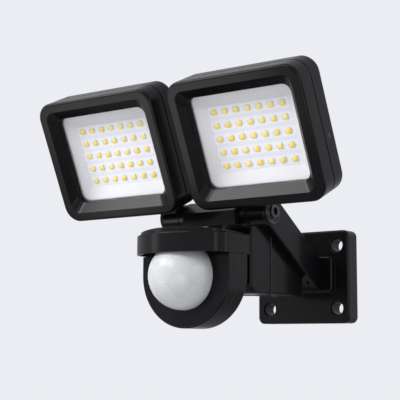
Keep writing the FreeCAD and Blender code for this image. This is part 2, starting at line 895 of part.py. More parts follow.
def make_pivot_bolts():
    """One bolt through each knuckle into the bar, with a socket in its round head."""
    members = []
    inner = d.bar_cavity_half_length - d.nut_length
    for name, side in SIDES.items():
        head = outward_rod(f"bolt_{name}_head", side, BOLT_HEAD_X, d.bolt_head_length,
                           d.bolt_head_radius)
        shaft = outward_rod(f"bolt_{name}_shaft", side, inner,
                            BOLT_HEAD_X - inner + d.bolt_head_length / 2, d.bolt_radius)
        socket_x = BOLT_HEAD_X + d.bolt_head_length - d.bolt_socket_depth
        socket = outward_rod(f"bolt_{name}_socket", side, socket_x, d.bolt_socket_depth * 2,
                             d.bolt_socket_radius)
        solid = fuse(f"bolt_{name}_solid", [head, shaft])
        members.append(cut(f"bolt_{name}", solid, socket))
    return group("pivot_bolts", members)


def make_pivot_rings():
    """The cup washers, nuts and friction washers of both pivots."""
    pivot_rings("pivot_washers", WASHER_X, d.washer_thickness, d.washer_radius)
    pivot_rings("pivot_nuts", d.bar_cavity_half_length - d.nut_length, d.nut_length, d.nut_radius)
    pivot_rings("friction_washers", FLANGE_X, d.friction_washer_thickness, d.washer_radius)


# Lamp heads, upright, with the tilt axis through the origin

GLASS_DEPTH = d.window_depth + d.glass_thickness
SEAM_DEPTH = d.rim_depth + d.seal_thickness
FLOOR_DEPTH = d.board_depth + d.board_thickness
FLOOR_BACK = FLOOR_DEPTH + d.floor_thickness
HEAD_CENTRE_Z = d.head_rise + d.head_height / 2
OPENING_WIDTH = d.head_width - d.rim_face_x * 2
OPENING_HEIGHT = d.head_height - d.rim_face_z * 2
STEP_WIDTH = OPENING_WIDTH - d.step_inset_x * 2
WINDOW_HEIGHT = OPENING_HEIGHT - d.step_inset_z * 2
WINDOW_WIDTH = STEP_WIDTH - d.window_inset_x * 2
TRAY_WIDTH = WINDOW_WIDTH - d.tray_inset_x * 2
TRAY_HEIGHT = WINDOW_HEIGHT - d.tray_inset_z * 2
CHIP_PITCH_X = (TRAY_WIDTH - d.chip_margin_x * 2 - d.chip_side) / (CHIP_COLUMNS - 1)
CHIP_PITCH_Z = (TRAY_HEIGHT - d.chip_margin_z * 2 - d.chip_side) / (CHIP_ROWS - 1)
GLASS_WIDTH = WINDOW_WIDTH + d.glass_border * 2
GLASS_HEIGHT = WINDOW_HEIGHT + d.glass_border * 2
FRAME_WIDTH = OPENING_WIDTH + d.funnel_wall * 2
FRAME_HEIGHT = OPENING_HEIGHT + d.funnel_wall * 2
FRAME_CORNER = d.opening_corner + d.funnel_wall
INNER_WIDTH = d.head_width - d.head_wall * 2
INNER_HEIGHT = d.head_height - d.head_wall * 2
INNER_CORNER = d.head_corner - d.head_wall


def head_centre_x(side):
    """X of the middle of a head."""
    return side * (d.head_gap + d.head_width) / 2


def at_depth(depth):
    """How far in front of the tilt axis a depth behind the head's front lies."""
    return d.head_back_to_pivot + d.head_depth - depth


def head_sketch(body, depth):
    """A sketch across the head at a depth behind its front."""
    return new_sketch(body, "XZ_Plane", at_depth(size_of(depth)))


def post_points(side):
    """Centres of the four posts in the head's corners."""
    middle = head_centre_x(side)
    top = INNER_HEIGHT / 2 - d.post_inset_z
    corners = corners_of(INNER_WIDTH / 2 - d.post_inset_x, -top, top)
    return [(middle + x, HEAD_CENTRE_Z + z) for x, z in corners]


def ear_screw_points(side):
    """Centres of the two screws through the knuckle's ear."""
    return [(side * d.ear_centre_x, z) for z in (d.ear_screw_low, d.ear_screw_high)]


def tilt(thing):
    """Place a head's piece on the tilt axis and tilt it."""
    thing.Placement = Placement(Vector(), Rotation(X, 1))
    thing.setExpression("Placement.Rotation.Angle", "Dimensions.head_tilt")
    move(thing, 0, -d.pivot_out, d.pivot_z)
    return thing


def head_outline(body, side, depth, width, height, radius):
    """A rounded rectangle about the head's middle, drawn at a depth."""
    sketch = head_sketch(body, depth)
    add_rounded(sketch, head_centre_x(side), HEAD_CENTRE_Z, width, height, radius)
    return sketch


def head_slab(body, side, front_depth, back_depth, width, height, radius):
    """A rounded slab between two depths of the head."""
    sketch = head_outline(body, side, back_depth, width, height, radius)
    add_pad(sketch, size_of(back_depth) - front_depth)


def cut_circles(body, depth, length, points, radius):
    """Round holes of one radius from a depth of the head backwards."""
    sketch = head_sketch(body, depth)
    for x, z in points:
        add_circle(sketch, x, z, radius)
    add_pocket(sketch, length)


def make_bezel(name, side):
    """Front rim with a skirt round the head and a stepped funnel down to the window."""
    body = new_body(f"{name}_bezel")
    head_slab(body, side, 0, d.rim_depth, d.head_width, d.head_height, d.head_corner)
    front = -at_depth(0).value
    dress(body, "Fillet", edges_at(body.Tip.Shape, Y, front), d.rim_edge)
    sketch = head_outline(body, side, d.rim_thickness, INNER_WIDTH, INNER_HEIGHT, INNER_CORNER)
    add_pocket(sketch, d.rim_depth - d.rim_thickness)
    head_slab(body, side, d.rim_thickness / 2, d.window_depth, FRAME_WIDTH, FRAME_HEIGHT,
              FRAME_CORNER)
    stages = [
        (0, OPENING_WIDTH, OPENING_HEIGHT, d.opening_corner),
        (d.step_depth, STEP_WIDTH, WINDOW_HEIGHT, d.step_corner),
        (d.window_depth, WINDOW_WIDTH, WINDOW_HEIGHT, d.window_corner),
    ]
    for outer, inner in zip(stages, stages[1:]):
        add_funnel(head_outline(body, side, *outer), head_outline(body, side, *inner))
    cut_circles(body, d.window_depth - d.screw_bite, d.screw_bite, post_points(side),
                d.screw_radius + d.fit)
    return tilt(body)


def make_glass(name, side):
    """Clear pane behind the bezel."""
    body = new_body(f"{name}_glass")
    head_slab(body, side, d.window_depth, GLASS_DEPTH, GLASS_WIDTH, GLASS_HEIGHT,
              d.post_radius)
    return tilt(body)


def make_reflector(name, side):
    """White tray whose walls slope from the window to the chips."""
    body = new_body(f"{name}_reflector")
    head_slab(body, side, GLASS_DEPTH, d.board_depth, GLASS_WIDTH, GLASS_HEIGHT,
              d.post_radius)
    outer = head_outline(body, side, GLASS_DEPTH, WINDOW_WIDTH, WINDOW_HEIGHT,
                         d.window_corner)
    inner = head_outline(body, side, d.board_depth, TRAY_WIDTH, TRAY_HEIGHT,
                         d.tray_corner)
    add_funnel(outer, inner)
    return tilt(body)


def make_led_board(name, side):
    """Flat board that carries the chips."""
    body = new_body(f"{name}_led_board")
    head_slab(body, side, d.board_depth, d.board_depth + d.board_thickness,
              TRAY_WIDTH + d.board_border * 2, TRAY_HEIGHT + d.board_border * 2,
              d.tray_corner)
    return tilt(body)


def make_led_chips(name, side):
    """Square chips in rows and columns on the board."""
    members = []
    front = -at_depth(d.board_depth - d.chip_thickness)
    left = head_centre_x(side) - TRAY_WIDTH / 2 + d.chip_margin_x
    low = HEAD_CENTRE_Z - TRAY_HEIGHT / 2 + d.chip_margin_z
    for row in range(CHIP_ROWS):
        for column in range(CHIP_COLUMNS):
            corner = (left + CHIP_PITCH_X * column, front, low + CHIP_PITCH_Z * row)
            members.append(box(f"{name}_chip_{row}_{column}", corner,
                               (d.chip_side, d.chip_thickness, d.chip_side)))
    return tilt(group(f"{name}_led_chips", members))


def make_seal(name, side):
    """Rubber ring between the bezel's skirt and the rear shell."""
    body = new_body(f"{name}_seal")
    head_slab(body, side, d.rim_depth, SEAM_DEPTH, d.head_width - d.seal_inset * 2,
              d.head_height - d.seal_inset * 2, d.head_corner - d.seal_inset)
    sketch = head_outline(body, side, d.rim_depth, INNER_WIDTH + d.clearance * 2,
                          INNER_HEIGHT + d.clearance * 2, INNER_CORNER + d.clearance)
    add_pocket(sketch, d.seal_thickness)
    return tilt(body)


def make_housing(name, side):
    """Tub inside the head with the floor that the board lies on and four posts."""
    body = new_body(f"{name}_housing")
    width = INNER_WIDTH - d.clearance * 2
    height = INNER_HEIGHT - d.clearance * 2
    corner = INNER_CORNER - d.clearance
    head_slab(body, side, d.tub_front_depth, FLOOR_BACK, width, height, corner)
    sketch = head_outline(body, side, d.tub_front_depth, width - d.tub_wall * 2,
                          height - d.tub_wall * 2, corner - d.tub_wall)
    add_pocket(sketch, FLOOR_DEPTH - d.tub_front_depth)
    sketch = head_sketch(body, FLOOR_DEPTH)
    for x, z in post_points(side):
        add_circle(sketch, x, z, d.post_radius)
    add_pad(sketch, FLOOR_DEPTH - d.window_depth)
    cut_circles(body, d.window_depth, FLOOR_BACK - d.window_depth, post_points(side),
                d.screw_radius + d.fit)
    return tilt(body)


def make_back(name, side):
    """Rear shell with rounded edges, screw posts and a breather recess in its outer side."""
    body = new_body(f"{name}_back")
    head_slab(body, side, SEAM_DEPTH, d.head_depth, d.head_width, d.head_height,
              d.head_corner)
    dress(body, "Fillet", edges_at(body.Tip.Shape, Y, -at_depth(d.head_depth).value), d.back_edge)
    dress(body, "Chamfer", edges_at(body.Tip.Shape, Y, -at_depth(SEAM_DEPTH).value),
          d.seam_bevel)
    sketch = head_outline(body, side, SEAM_DEPTH, INNER_WIDTH, INNER_HEIGHT, INNER_CORNER)
    add_pocket(sketch, d.head_depth - d.head_wall - SEAM_DEPTH)
    sketch = head_sketch(body, d.head_depth - d.head_wall / 2)
    for x, z in post_points(side):
        add_circle(sketch, x, z, d.post_radius + d.screw_radius)
    for x, z in ear_screw_points(side):
        add_circle(sketch, x, z, d.post_radius)
    add_pad(sketch, d.head_depth - d.head_wall / 2 - FLOOR_BACK)
    cut_circles(body, FLOOR_BACK, d.head_depth - FLOOR_BACK, post_points(side),
                d.screw_radius + d.fit)
    cut_circles(body, d.head_depth - d.screw_head_length, d.screw_head_length,
                post_points(side), d.screw_head_radius + d.fit)
    grip = d.ear_screw_length
    cut_circles(body, d.head_depth - grip, grip, ear_screw_points(side), d.screw_radius + d.fit)
    outer_x = head_centre_x(side) + side * d.head_width / 2
    sketch = new_sketch(body, "YZ_Plane", outer_x if side > 0 else outer_x + d.vent_recess)
    add_circle(sketch, -at_depth(d.vent_depth), HEAD_CENTRE_Z - d.vent_drop, d.vent_radius)
    add_pocket(sketch, d.vent_recess)
    return tilt(body)


def make_head_screws(name, side):
    """Four long screws from the rear shell through the housing into the bezel."""
    members = []
    shaft_length = d.head_depth - d.screw_head_length - d.window_depth + d.screw_bite
    for number, (x, z) in enumerate(post_points(side), start=1):
        start = (x, -at_depth(d.head_depth), z)
        members.append(screw(f"{name}_head_screw_{number}", "-y", start, shaft_length))
    return tilt(group(f"{name}_head_screws", members))


def make_knuckle(name, side):
    """Barrel on the pivot bolt with an ear that runs up behind the rear shell."""
    body = new_body(f"{name}_knuckle")
    inner_x = side * KNUCKLE_X if side > 0 else side * WASHER_X
    sketch = new_sketch(body, "YZ_Plane", inner_x)
    add_circle(sketch, 0, 0, d.knuckle_radius)
    add_pad(sketch, d.knuckle_length)
    end_x = (inner_x + d.knuckle_length if side > 0 else inner_x).value
    dress(body, "Fillet", edges_at(body.Tip.Shape, X, end_x), d.rim_edge)
    sketch = new_sketch(body, "XZ_Plane", d.head_back_to_pivot - d.ear_thickness)
    middle = side * d.ear_centre_x
    add_polygon(sketch, rectangle(middle, d.ear_height / 2, d.ear_width, d.ear_height))
    add_pad(sketch, d.ear_thickness)
    top = [edge for edge in edges_along(body.Tip.Shape, Y)
           if body.Tip.Shape.getElement(edge).BoundBox.ZMin > d.ear_height.value - 0.01]
    dress(body, "Fillet", top, d.ear_round)
    sketch = new_sketch(body, "YZ_Plane", inner_x + d.knuckle_length)
    add_circle(sketch, 0, 0, d.bolt_radius + d.fit)
    add_pocket(sketch, d.knuckle_length)
    sketch = new_sketch(body, "XZ_Plane", d.head_back_to_pivot)
    for x, z in ear_screw_points(side):
        add_circle(sketch, x, z, d.screw_radius + d.fit)
    add_pocket(sketch, d.ear_thickness)
    sketch = new_sketch(body, "XZ_Plane", d.head_back_to_pivot - d.ear_thickness
                        + d.screw_head_length)
    for x, z in ear_screw_points(side):
        add_circle(sketch, x, z, d.screw_head_radius + d.fit)
    add_pocket(sketch, d.screw_head_length)
    return tilt(body)


def make_knuckle_screws(name, side):
    """Two screws from the ear into the rear shell."""
    members = []
    back_y = -(d.head_back_to_pivot - d.ear_thickness)
    shaft_length = d.ear_thickness - d.screw_head_length + d.ear_screw_length - d.clearance
    for number, (x, z) in enumerate(ear_screw_points(side), start=1):
        members.append(screw(f"{name}_knuckle_screw_{number}", "-y", (x, back_y, z),
                             shaft_length))
    return tilt(group(f"{name}_knuckle_screws", members))


def make_head(name, side):
    """All pieces of one lamp head."""
    make_bezel(name, side)
    make_glass(name, side)
    make_reflector(name, side)
    make_led_board(name, side)
    make_led_chips(name, side)
    make_seal(name, side)
    make_housing(name, side)
    make_back(name, side)
    make_head_screws(name, side)
    make_knuckle(name, side)
    make_knuckle_screws(name, side)


# Junction box under the arm

BOX_FLOOR_Z = d.box_bottom_z + d.box_wall
DRIVER_OUT = d.box_front_out - d.box_wall - d.driver_gap
TRANSFORMER_OUT = DRIVER_OUT - d.transformer_setback
CAPACITOR_OUT = TRANSFORMER_OUT - d.transformer_length - d.capacitor_gap - d.capacitor_radius
RELAY_OUT = CAPACITOR_OUT - d.capacitor_radius - d.relay_gap
TERMINAL_OUT = DRIVER_OUT - d.terminal_setback
SEAL_FRONT = d.box_seam_out + d.box_seal_thickness / 2
SEAL_REAR = d.box_seam_out - d.box_seal_thickness / 2


def arm_nose(out):
    """Height of the arm's nearly level underside in front of its elbow."""
    run = d.bar_rear_out - d.arm_elbow_out
    share = (out - d.arm_elbow_out) / run
    return d.arm_elbow_z + (d.arm_end_bottom - d.arm_elbow_z) * share


def box_post_points():
    """Centres of the screw posts of the junction box."""
    return corners_of(d.box_post_x, d.box_post_low, d.box_post_high)


def box_shell(label, corners, cavity):
    """A shell of the junction box from its side outline and the outline of its hollow."""
    body = new_body(label)
    sketch = new_sketch(body, "YZ_Plane", -d.box_half_width)
    add_polygon(sketch, corners)
    add_pad(sketch, d.box_half_width * 2)
    bottom = d.box_bottom_z.value
    side_edges = [edge for edge in edges_at(body.Tip.Shape, Z, bottom)
                  if edge in edges_along(body.Tip.Shape, Y)]
    front_edges = [edge for edge in edges_at(body.Tip.Shape, Y, -d.box_front_out.value)
                   if edge in edges_at(body.Tip.Shape, Z, bottom)]
    if front_edges:
        dress(body, "Fillet", front_edges, d.box_front_round)
        side_edges = edges_at(body.Tip.Shape, X, d.box_half_width.value)
        side_edges += edges_at(body.Tip.Shape, X, -d.box_half_width.value)
        side_edges = [edge for edge in side_edges
                      if body.Tip.Shape.getElement(edge).BoundBox.ZMin < bottom
                      + d.box_front_round.value - 0.01
                      and body.Tip.Shape.getElement(edge).BoundBox.ZLength
                      < d.box_front_round.value + 0.01]
    dress(body, "Fillet", side_edges, d.box_side_round)
    inner = d.box_half_width - d.box_wall
    sketch = new_sketch(body, "YZ_Plane", inner)
    add_polygon(sketch, cavity)
    add_pocket(sketch, inner * 2)
    return body


def make_box_front():
    """Front shell of the box, open to the arm above it, with four screw posts."""
    body = box_shell("box_front", [
        (-d.box_front_out, d.box_bottom_z),
        (-d.box_front_out, arm_nose(d.box_front_out)),
        (-d.arm_elbow_out, d.arm_elbow_z),
        (-SEAL_FRONT, arm_underside(SEAL_FRONT)),
        (-SEAL_FRONT, d.box_bottom_z),
    ], [
        (-(d.box_front_out - d.box_wall), BOX_FLOOR_Z),
        (-(d.box_front_out - d.box_wall), d.arm_elbow_z),
        (-SEAL_REAR, d.arm_elbow_z),
        (-SEAL_REAR, BOX_FLOOR_Z),
    ])
    sketch = new_sketch(body, "XZ_Plane", SEAL_FRONT)
    for x, z in box_post_points():
        add_circle(sketch, x, z, d.box_post_radius)
    add_pad(sketch, d.box_front_out - d.box_wall / 2 - SEAL_FRONT)
    sketch = new_sketch(body, "XZ_Plane", d.box_front_out)
    for x, z in box_post_points():
        add_circle(sketch, x, z, d.screw_radius + d.fit)
    add_pocket(sketch, d.box_front_out - SEAL_FRONT)
    sketch = new_sketch(body, "XZ_Plane", d.box_front_out)
    for x, z in box_post_points():
        add_circle(sketch, x, z, d.screw_head_radius + d.fit)
    add_pocket(sketch, d.screw_head_length)
    return body


def make_box_rear():
    """Rear shell of the box, cut to the slope of the arm, with four blind posts."""
    body = box_shell("box_rear", [
        (-SEAL_REAR, d.box_bottom_z),
        (-SEAL_REAR, arm_underside(SEAL_REAR)),
        (-d.box_rear_out, arm_underside(d.box_rear_out)),
        (-d.box_rear_out, d.box_bottom_z),
    ], [
        (-SEAL_FRONT, BOX_FLOOR_Z),
        (-SEAL_FRONT, d.arm_elbow_z),
        (-(d.box_rear_out + d.box_wall), d.arm_elbow_z),
        (-(d.box_rear_out + d.box_wall), BOX_FLOOR_Z),
    ])
    rear_end = SEAL_REAR - d.box_post_rear_length
    sketch = new_sketch(body, "XZ_Plane", rear_end)
    for x, z in box_post_points():
        add_circle(sketch, x, z, d.box_post_radius)
    add_pad(sketch, d.box_post_rear_length)
    sketch = new_sketch(body, "XZ_Plane", SEAL_REAR)
    for x, z in box_post_points():
        add_circle(sketch, x, z, d.screw_radius + d.fit)
    add_pocket(sketch, d.box_post_rear_length)
    return body


def make_box_seal():
    """Rubber frame between the two shells that stands a little proud of them."""
    body = new_body("box_seal")
    low = d.box_bottom_z - d.box_seal_proud
    high = arm_underside(SEAL_REAR)
    half = d.box_half_width + d.box_seal_proud
    sketch = new_sketch(body, "XZ_Plane", SEAL_REAR)
    add_polygon(sketch, rectangle(size_of(0), (low + high) / 2, half * 2, high - low))
    add_pad(sketch, d.box_seal_thickness)
    lower_corners = [edge for edge in edges_along(body.Tip.Shape, Y)
                     if body.Tip.Shape.getElement(edge).BoundBox.ZMax < low.value + 0.01]
    dress(body, "Fillet", lower_corners, d.box_side_round + d.box_seal_proud)
    opening = high - d.box_wall
    sketch = new_sketch(body, "XZ_Plane", SEAL_FRONT)
    add_polygon(sketch, rectangle(size_of(0), (BOX_FLOOR_Z + opening) / 2,
                                  (d.box_half_width - d.box_wall) * 2, opening - BOX_FLOOR_Z))
    add_pocket(sketch, d.box_seal_thickness)
    return body


def make_box_screws():
    """Four long screws from the front of the box into the rear shell's posts."""
    members = []
    shaft_length = (d.box_front_out - d.screw_head_length - SEAL_REAR
                    + d.box_post_rear_length - d.screw_radius)
    for number, (x, z) in enumerate(box_post_points(), start=1):
        members.append(screw(f"box_screw_{number}", "y", (x, -d.box_front_out, z), shaft_length))
    return group("box_screws", members)


def make_driver():
    """Driver board on the box's floor with its transformer, capacitor and relay."""
    face_x = d.driver_x + d.driver_thickness
    box("driver_board", (d.driver_x, -DRIVER_OUT, BOX_FLOOR_Z),
        (d.driver_thickness, d.driver_length, d.driver_height))
    box("transformer", (face_x, -TRANSFORMER_OUT, BOX_FLOOR_Z + d.transformer_lift),
        (d.transformer_width, d.transformer_length, d.transformer_height))
    cylinder("capacitor", "x", (face_x, -CAPACITOR_OUT, BOX_FLOOR_Z + d.capacitor_lift),
             d.capacitor_radius, d.capacitor_length)
    box("relay", (face_x, -RELAY_OUT, BOX_FLOOR_Z + d.relay_lift),
        (d.relay_width, d.relay_length, d.relay_height))


def make_terminals():
    """Terminal block on the box's floor and the clamping screws in it."""
    left = d.driver_x - d.clearance - d.terminal_width
    block = box("terminal_body", (left, -TERMINAL_OUT, BOX_FLOOR_Z),
                (d.terminal_width, d.terminal_length, d.terminal_height))
    top = BOX_FLOOR_Z + d.terminal_height
    pitch = d.terminal_length / TERMINALS
    screws = []
    for number in range(TERMINALS):
        place = (left + d.terminal_width / 2, -TERMINAL_OUT + pitch / 2 + pitch * number,
                 top - d.terminal_screw_depth)
        hole = cylinder(f"terminal_hole_{number}", "z", place, d.terminal_screw_radius + d.fit,
                        d.terminal_screw_depth * 2)
        block = cut("terminal_block" if number == TERMINALS - 1 else f"terminal_step_{number}",
                    block, hole)
        screws.append(cylinder(f"terminal_screw_{number}", "z", place, d.terminal_screw_radius,
                               d.terminal_screw_depth))
    group("terminal_screws", screws)


# Motion sensor

HINGE_OUT = d.stem_out + d.hinge_reach
SENSOR_BACK_OUT = HINGE_OUT + d.hinge_gap
SENSOR_SEAM_OUT = SENSOR_BACK_OUT + d.sensor_rear_depth
SENSOR_FACE_OUT = SENSOR_SEAM_OUT + d.sensor_front_depth
SENSOR_TOP_Z = d.hood_rim_z - d.hood_ceiling - d.clearance
DOME_CENTRE_OUT = SENSOR_FACE_OUT + d.dome_rise
DOME_FLANGE_RADIUS = d.dome_radius + d.dome_gap + d.dome_flange_width
DOME_CENTRE_Z = SENSOR_TOP_Z - d.sensor_wall - d.clearance - DOME_FLANGE_RADIUS
HOOD_SIDE_OUT = SENSOR_FACE_OUT + d.hood_side_reach
HOOD_REACH = d.dome_rise + d.dome_radius + d.hood_wall - d.hood_tuck - d.hood_side_reach
HOOD_BACK_OUT = SENSOR_BACK_OUT - d.hood_wall - d.clearance
HOOD_HALF_WIDTH = d.sensor_radius - d.sensor_neck_inset + d.clearance + d.hood_wall


def make_swivel_block():
    """Block that turns on the stem's pin and carries the sensor's hinge."""
    body = new_body("swivel_block")
    sketch = new_sketch(body, "XY_Plane", d.swivel_bottom_z)
    add_circle(sketch, 0, -d.stem_out, d.swivel_radius)
    add_pad(sketch, d.stem_shoulder_z - d.clearance - d.swivel_bottom_z)
    half = d.hinge_block_width / 2
    sketch = new_sketch(body, "YZ_Plane", -half)
    add_polygon(sketch, rectangle(-(HINGE_OUT + d.stem_out) / 2, d.hinge_z,
                                  HINGE_OUT - d.stem_out, d.hinge_radius * 2))
    add_pad(sketch, d.hinge_block_width)
    sketch = new_sketch(body, "YZ_Plane", -half)
    add_circle(sketch, -HINGE_OUT, d.hinge_z, d.hinge_radius)
    add_pad(sketch, d.hinge_block_width)
    sketch = new_sketch(body, "XY_Plane", d.stem_shoulder_z)
    add_circle(sketch, 0, -d.stem_out, d.stem_pin_radius + d.fit)
    add_pocket(sketch, d.stem_shoulder_z - d.swivel_bottom_z)
    sketch = new_sketch(body, "YZ_Plane", half)
    add_circle(sketch, -HINGE_OUT, d.hinge_z, d.hinge_pin_radius + d.fit)
    add_pocket(sketch, d.hinge_block_width)
    return body


def make_stem_screw():
    """Screw with a wide washer that keeps the swivel block on the stem."""
    top = d.swivel_bottom_z - d.clearance
    washer = cylinder("stem_washer", "z", (0, -d.stem_out, top - d.stem_washer_thickness),
                      d.stem_washer_radius, d.stem_washer_thickness)
    start = (0, -d.stem_out, top - d.stem_washer_thickness - d.screw_head_length)
    fixing = screw("stem_fixing", "z", start, d.stem_washer_thickness + d.stem_screw_length
                   - d.clearance)
    return fuse("stem_screw", [washer, fixing])


EAR_INNER_X = d.hinge_block_width / 2 + d.clearance


def make_hinge_pin():
    """Pin through the swivel block and the sensor's two ears."""
    half = EAR_INNER_X + d.hinge_ear_width
    return cylinder("hinge_pin", "x", (-half, -HINGE_OUT, d.hinge_z), d.hinge_pin_radius,
                    half * 2)


def add_arch(sketch, inset):
    """The sensor's outline: a round bottom, straight sides and a narrower neck on top."""
    half = d.sensor_radius - inset
    neck = d.sensor_radius - d.sensor_neck_inset - inset
    shoulder = d.sensor_shoulder_z - inset
    top = SENSOR_TOP_Z - inset
    corners = [(half, d.sensor_centre_z), (half, shoulder), (neck, shoulder), (neck, top),
               (-neck, top), (-neck, shoulder), (-half, shoulder), (-half, d.sensor_centre_z)]
    points = [point_of(x, z) for x, z in corners]
    for start, end in zip(points, points[1:]):
        sketch.addGeometry(Part.LineSegment(start, end), False)
    centre = point_of(0, d.sensor_centre_z)
    circle = Part.Circle(centre, Vector(0, 0, 1), half.value)
    arc = sketch.addGeometry(Part.ArcOfCircle(circle, Vector(1, 0).getAngle(Vector(-1, 0)),
                                              Vector(1, 0).getAngle(Vector(-1, 0)) * 2), False)
    for index in range(arc - 1):
        sketch.addConstraint(Sketcher.Constraint("Coincident", index, 2, index + 1, 1))
    sketch.addConstraint(Sketcher.Constraint("Coincident", arc - 1, 2, arc, 1))
    sketch.addConstraint(Sketcher.Constraint("Coincident", arc, 2, 0, 1))
    for index, (x, z) in enumerate(corners[:-1]):
        hold_point(sketch, index, 1, x, z)
    hold_point(sketch, arc - 1, 2, *corners[-1])
    hold(sketch, "DistanceY", arc, 3, d.sensor_centre_z)


def sensor_post_points():
    """Centres of the sensor's four screw posts."""
    high = [(side * d.sensor_post_high_x, d.sensor_post_high_z) for side in (1, -1)]
    low = [(side * d.sensor_post_low_x, d.sensor_post_low_z) for side in (1, -1)]
    return high + low


def cut_sensor_holes(body, start_out, length, radius):
    """Holes in the sensor's posts, from a distance in front of the wall towards it."""
    sketch = new_sketch(body, "XZ_Plane", start_out)
    for x, z in sensor_post_points():
        add_circle(sketch, x, z, radius)
    add_pocket(sketch, length)


def make_sensor_front():
    """Front shell with the round hole that the dome looks out of."""
    body = new_body("sensor_front")
    sketch = new_sketch(body, "XZ_Plane", SENSOR_SEAM_OUT)
    add_arch(sketch, size_of(0))
    add_pad(sketch, SENSOR_FACE_OUT - SENSOR_SEAM_OUT)
    dress(body, "Fillet", edges_at(body.Tip.Shape, Y, -SENSOR_FACE_OUT.value), d.sensor_edge)
    inner_face = SENSOR_FACE_OUT - d.sensor_wall
    sketch = new_sketch(body, "XZ_Plane", inner_face)
    add_arch(sketch, d.sensor_wall)
    add_pocket(sketch, inner_face - SENSOR_SEAM_OUT)
    sketch = new_sketch(body, "XZ_Plane", SENSOR_SEAM_OUT)
    for x, z in sensor_post_points():
        add_circle(sketch, x, z, d.sensor_post_radius)
    add_pad(sketch, inner_face - SENSOR_SEAM_OUT + d.sensor_wall / 2)
    sketch = new_sketch(body, "XZ_Plane", SENSOR_FACE_OUT)
    add_circle(sketch, 0, DOME_CENTRE_Z, d.dome_radius + d.dome_gap)
    add_pocket(sketch, SENSOR_FACE_OUT - SENSOR_SEAM_OUT)
    cut_sensor_holes(body, inner_face, inner_face - SENSOR_SEAM_OUT, d.screw_radius + d.fit)
    return body


def make_sensor_back():
    """Rear shell with the hinge ears, the dial holes and the sunk screw heads."""
    body = new_body("sensor_back")
    sketch = new_sketch(body, "XZ_Plane", SENSOR_BACK_OUT)
    add_arch(sketch, size_of(0))
    add_pad(sketch, SENSOR_SEAM_OUT - SENSOR_BACK_OUT)
    dress(body, "Fillet", edges_at(body.Tip.Shape, Y, -SENSOR_BACK_OUT.value), d.sensor_edge)
    sketch = new_sketch(body, "XZ_Plane", SENSOR_SEAM_OUT)
    add_arch(sketch, d.sensor_wall)
    add_pocket(sketch, SENSOR_SEAM_OUT - SENSOR_BACK_OUT - d.sensor_wall)
    sketch = new_sketch(body, "XZ_Plane", SENSOR_BACK_OUT + d.sensor_wall / 2)
    for x, z in sensor_post_points():
        add_circle(sketch, x, z, d.sensor_post_radius + d.screw_radius / 2)
    add_pad(sketch, SENSOR_SEAM_OUT - SENSOR_BACK_OUT - d.sensor_wall / 2)
    for ear_x in (EAR_INNER_X, -(EAR_INNER_X + d.hinge_ear_width)):
        sketch = new_sketch(body, "YZ_Plane", ear_x)
        root = SENSOR_BACK_OUT + d.sensor_wall / 2
        add_polygon(sketch, rectangle(-(HINGE_OUT + root) / 2, d.hinge_z, root - HINGE_OUT,
                                      d.hinge_radius * 2))
        add_pad(sketch, d.hinge_ear_width)
        sketch = new_sketch(body, "YZ_Plane", ear_x)
        add_circle(sketch, -HINGE_OUT, d.hinge_z, d.hinge_radius)
        add_pad(sketch, d.hinge_ear_width)
    sketch = new_sketch(body, "YZ_Plane", EAR_INNER_X + d.hinge_ear_width)
    add_circle(sketch, -HINGE_OUT, d.hinge_z, d.hinge_pin_radius + d.fit)
    add_pocket(sketch, (EAR_INNER_X + d.hinge_ear_width) * 2)
    cut_sensor_holes(body, SENSOR_SEAM_OUT, SENSOR_SEAM_OUT - SENSOR_BACK_OUT,
                     d.screw_radius + d.fit)
    cut_sensor_holes(body, SENSOR_BACK_OUT + d.screw_head_length, d.screw_head_length,
                     d.screw_head_radius + d.fit)
    sketch = new_sketch(body, "XZ_Plane", SENSOR_BACK_OUT + d.sensor_wall)
    for x in dial_places():
        add_circle(sketch, x, d.dial_z, d.dial_radius + d.fit)
    add_pocket(sketch, d.sensor_wall)
    return body


def dial_places():
    """X of the three adjuster dials."""
    return [d.dial_spacing * step for step in (-1, 0, 1)]


def make_dials():
    """Three slotted dials in the rear shell."""
    length = d.dial_length
    start_out = SENSOR_BACK_OUT - (length - d.sensor_wall) / 2
    for label, x in zip(("time_dial", "lux_dial", "sensitivity_dial"), dial_places()):
        knob = cylinder(label + "_knob", "-y", (x, -start_out, d.dial_z), d.dial_radius, length)
        slot = box(label + "_slot",
                   (x - d.dial_slot_width / 2, -start_out - d.dial_slot_depth,
                    d.dial_z - d.dial_radius),
                   (d.dial_slot_width, d.dial_slot_depth * 2, d.dial_radius * 2))
        cut(label, knob, slot)


def add_hood_outline(sketch, inset):
    """The hood from above: straight back and sides and a bowed front."""
    half = HOOD_HALF_WIDTH - inset
    back = HOOD_BACK_OUT + inset
    reach = HOOD_REACH - inset
    bow = (half * half + reach * reach) / (reach * 2)
    corners = [(half, -HOOD_SIDE_OUT), (half, -back), (-half, -back),
               (-half, -HOOD_SIDE_OUT)]
    points = [point_of(x, y) for x, y in corners]
    for start, end in zip(points, points[1:]):
        sketch.addGeometry(Part.LineSegment(start, end), False)
    front = point_of(0, -(HOOD_SIDE_OUT + reach))
    arc = sketch.addGeometry(Part.Arc(points[3], front, points[0]), False)
    for index in range(2):
        sketch.addConstraint(Sketcher.Constraint("Coincident", index, 2, index + 1, 1))
    sketch.addConstraint(Sketcher.Constraint("Coincident", 2, 2, arc, 1))
    sketch.addConstraint(Sketcher.Constraint("Coincident", arc, 2, 0, 1))
    for index in range(3):
        hold_point(sketch, index, 1, *corners[index])
    hold_point(sketch, 2, 2, *corners[3])
    hold(sketch, "DistanceY", arc, 3, bow - HOOD_SIDE_OUT - reach)


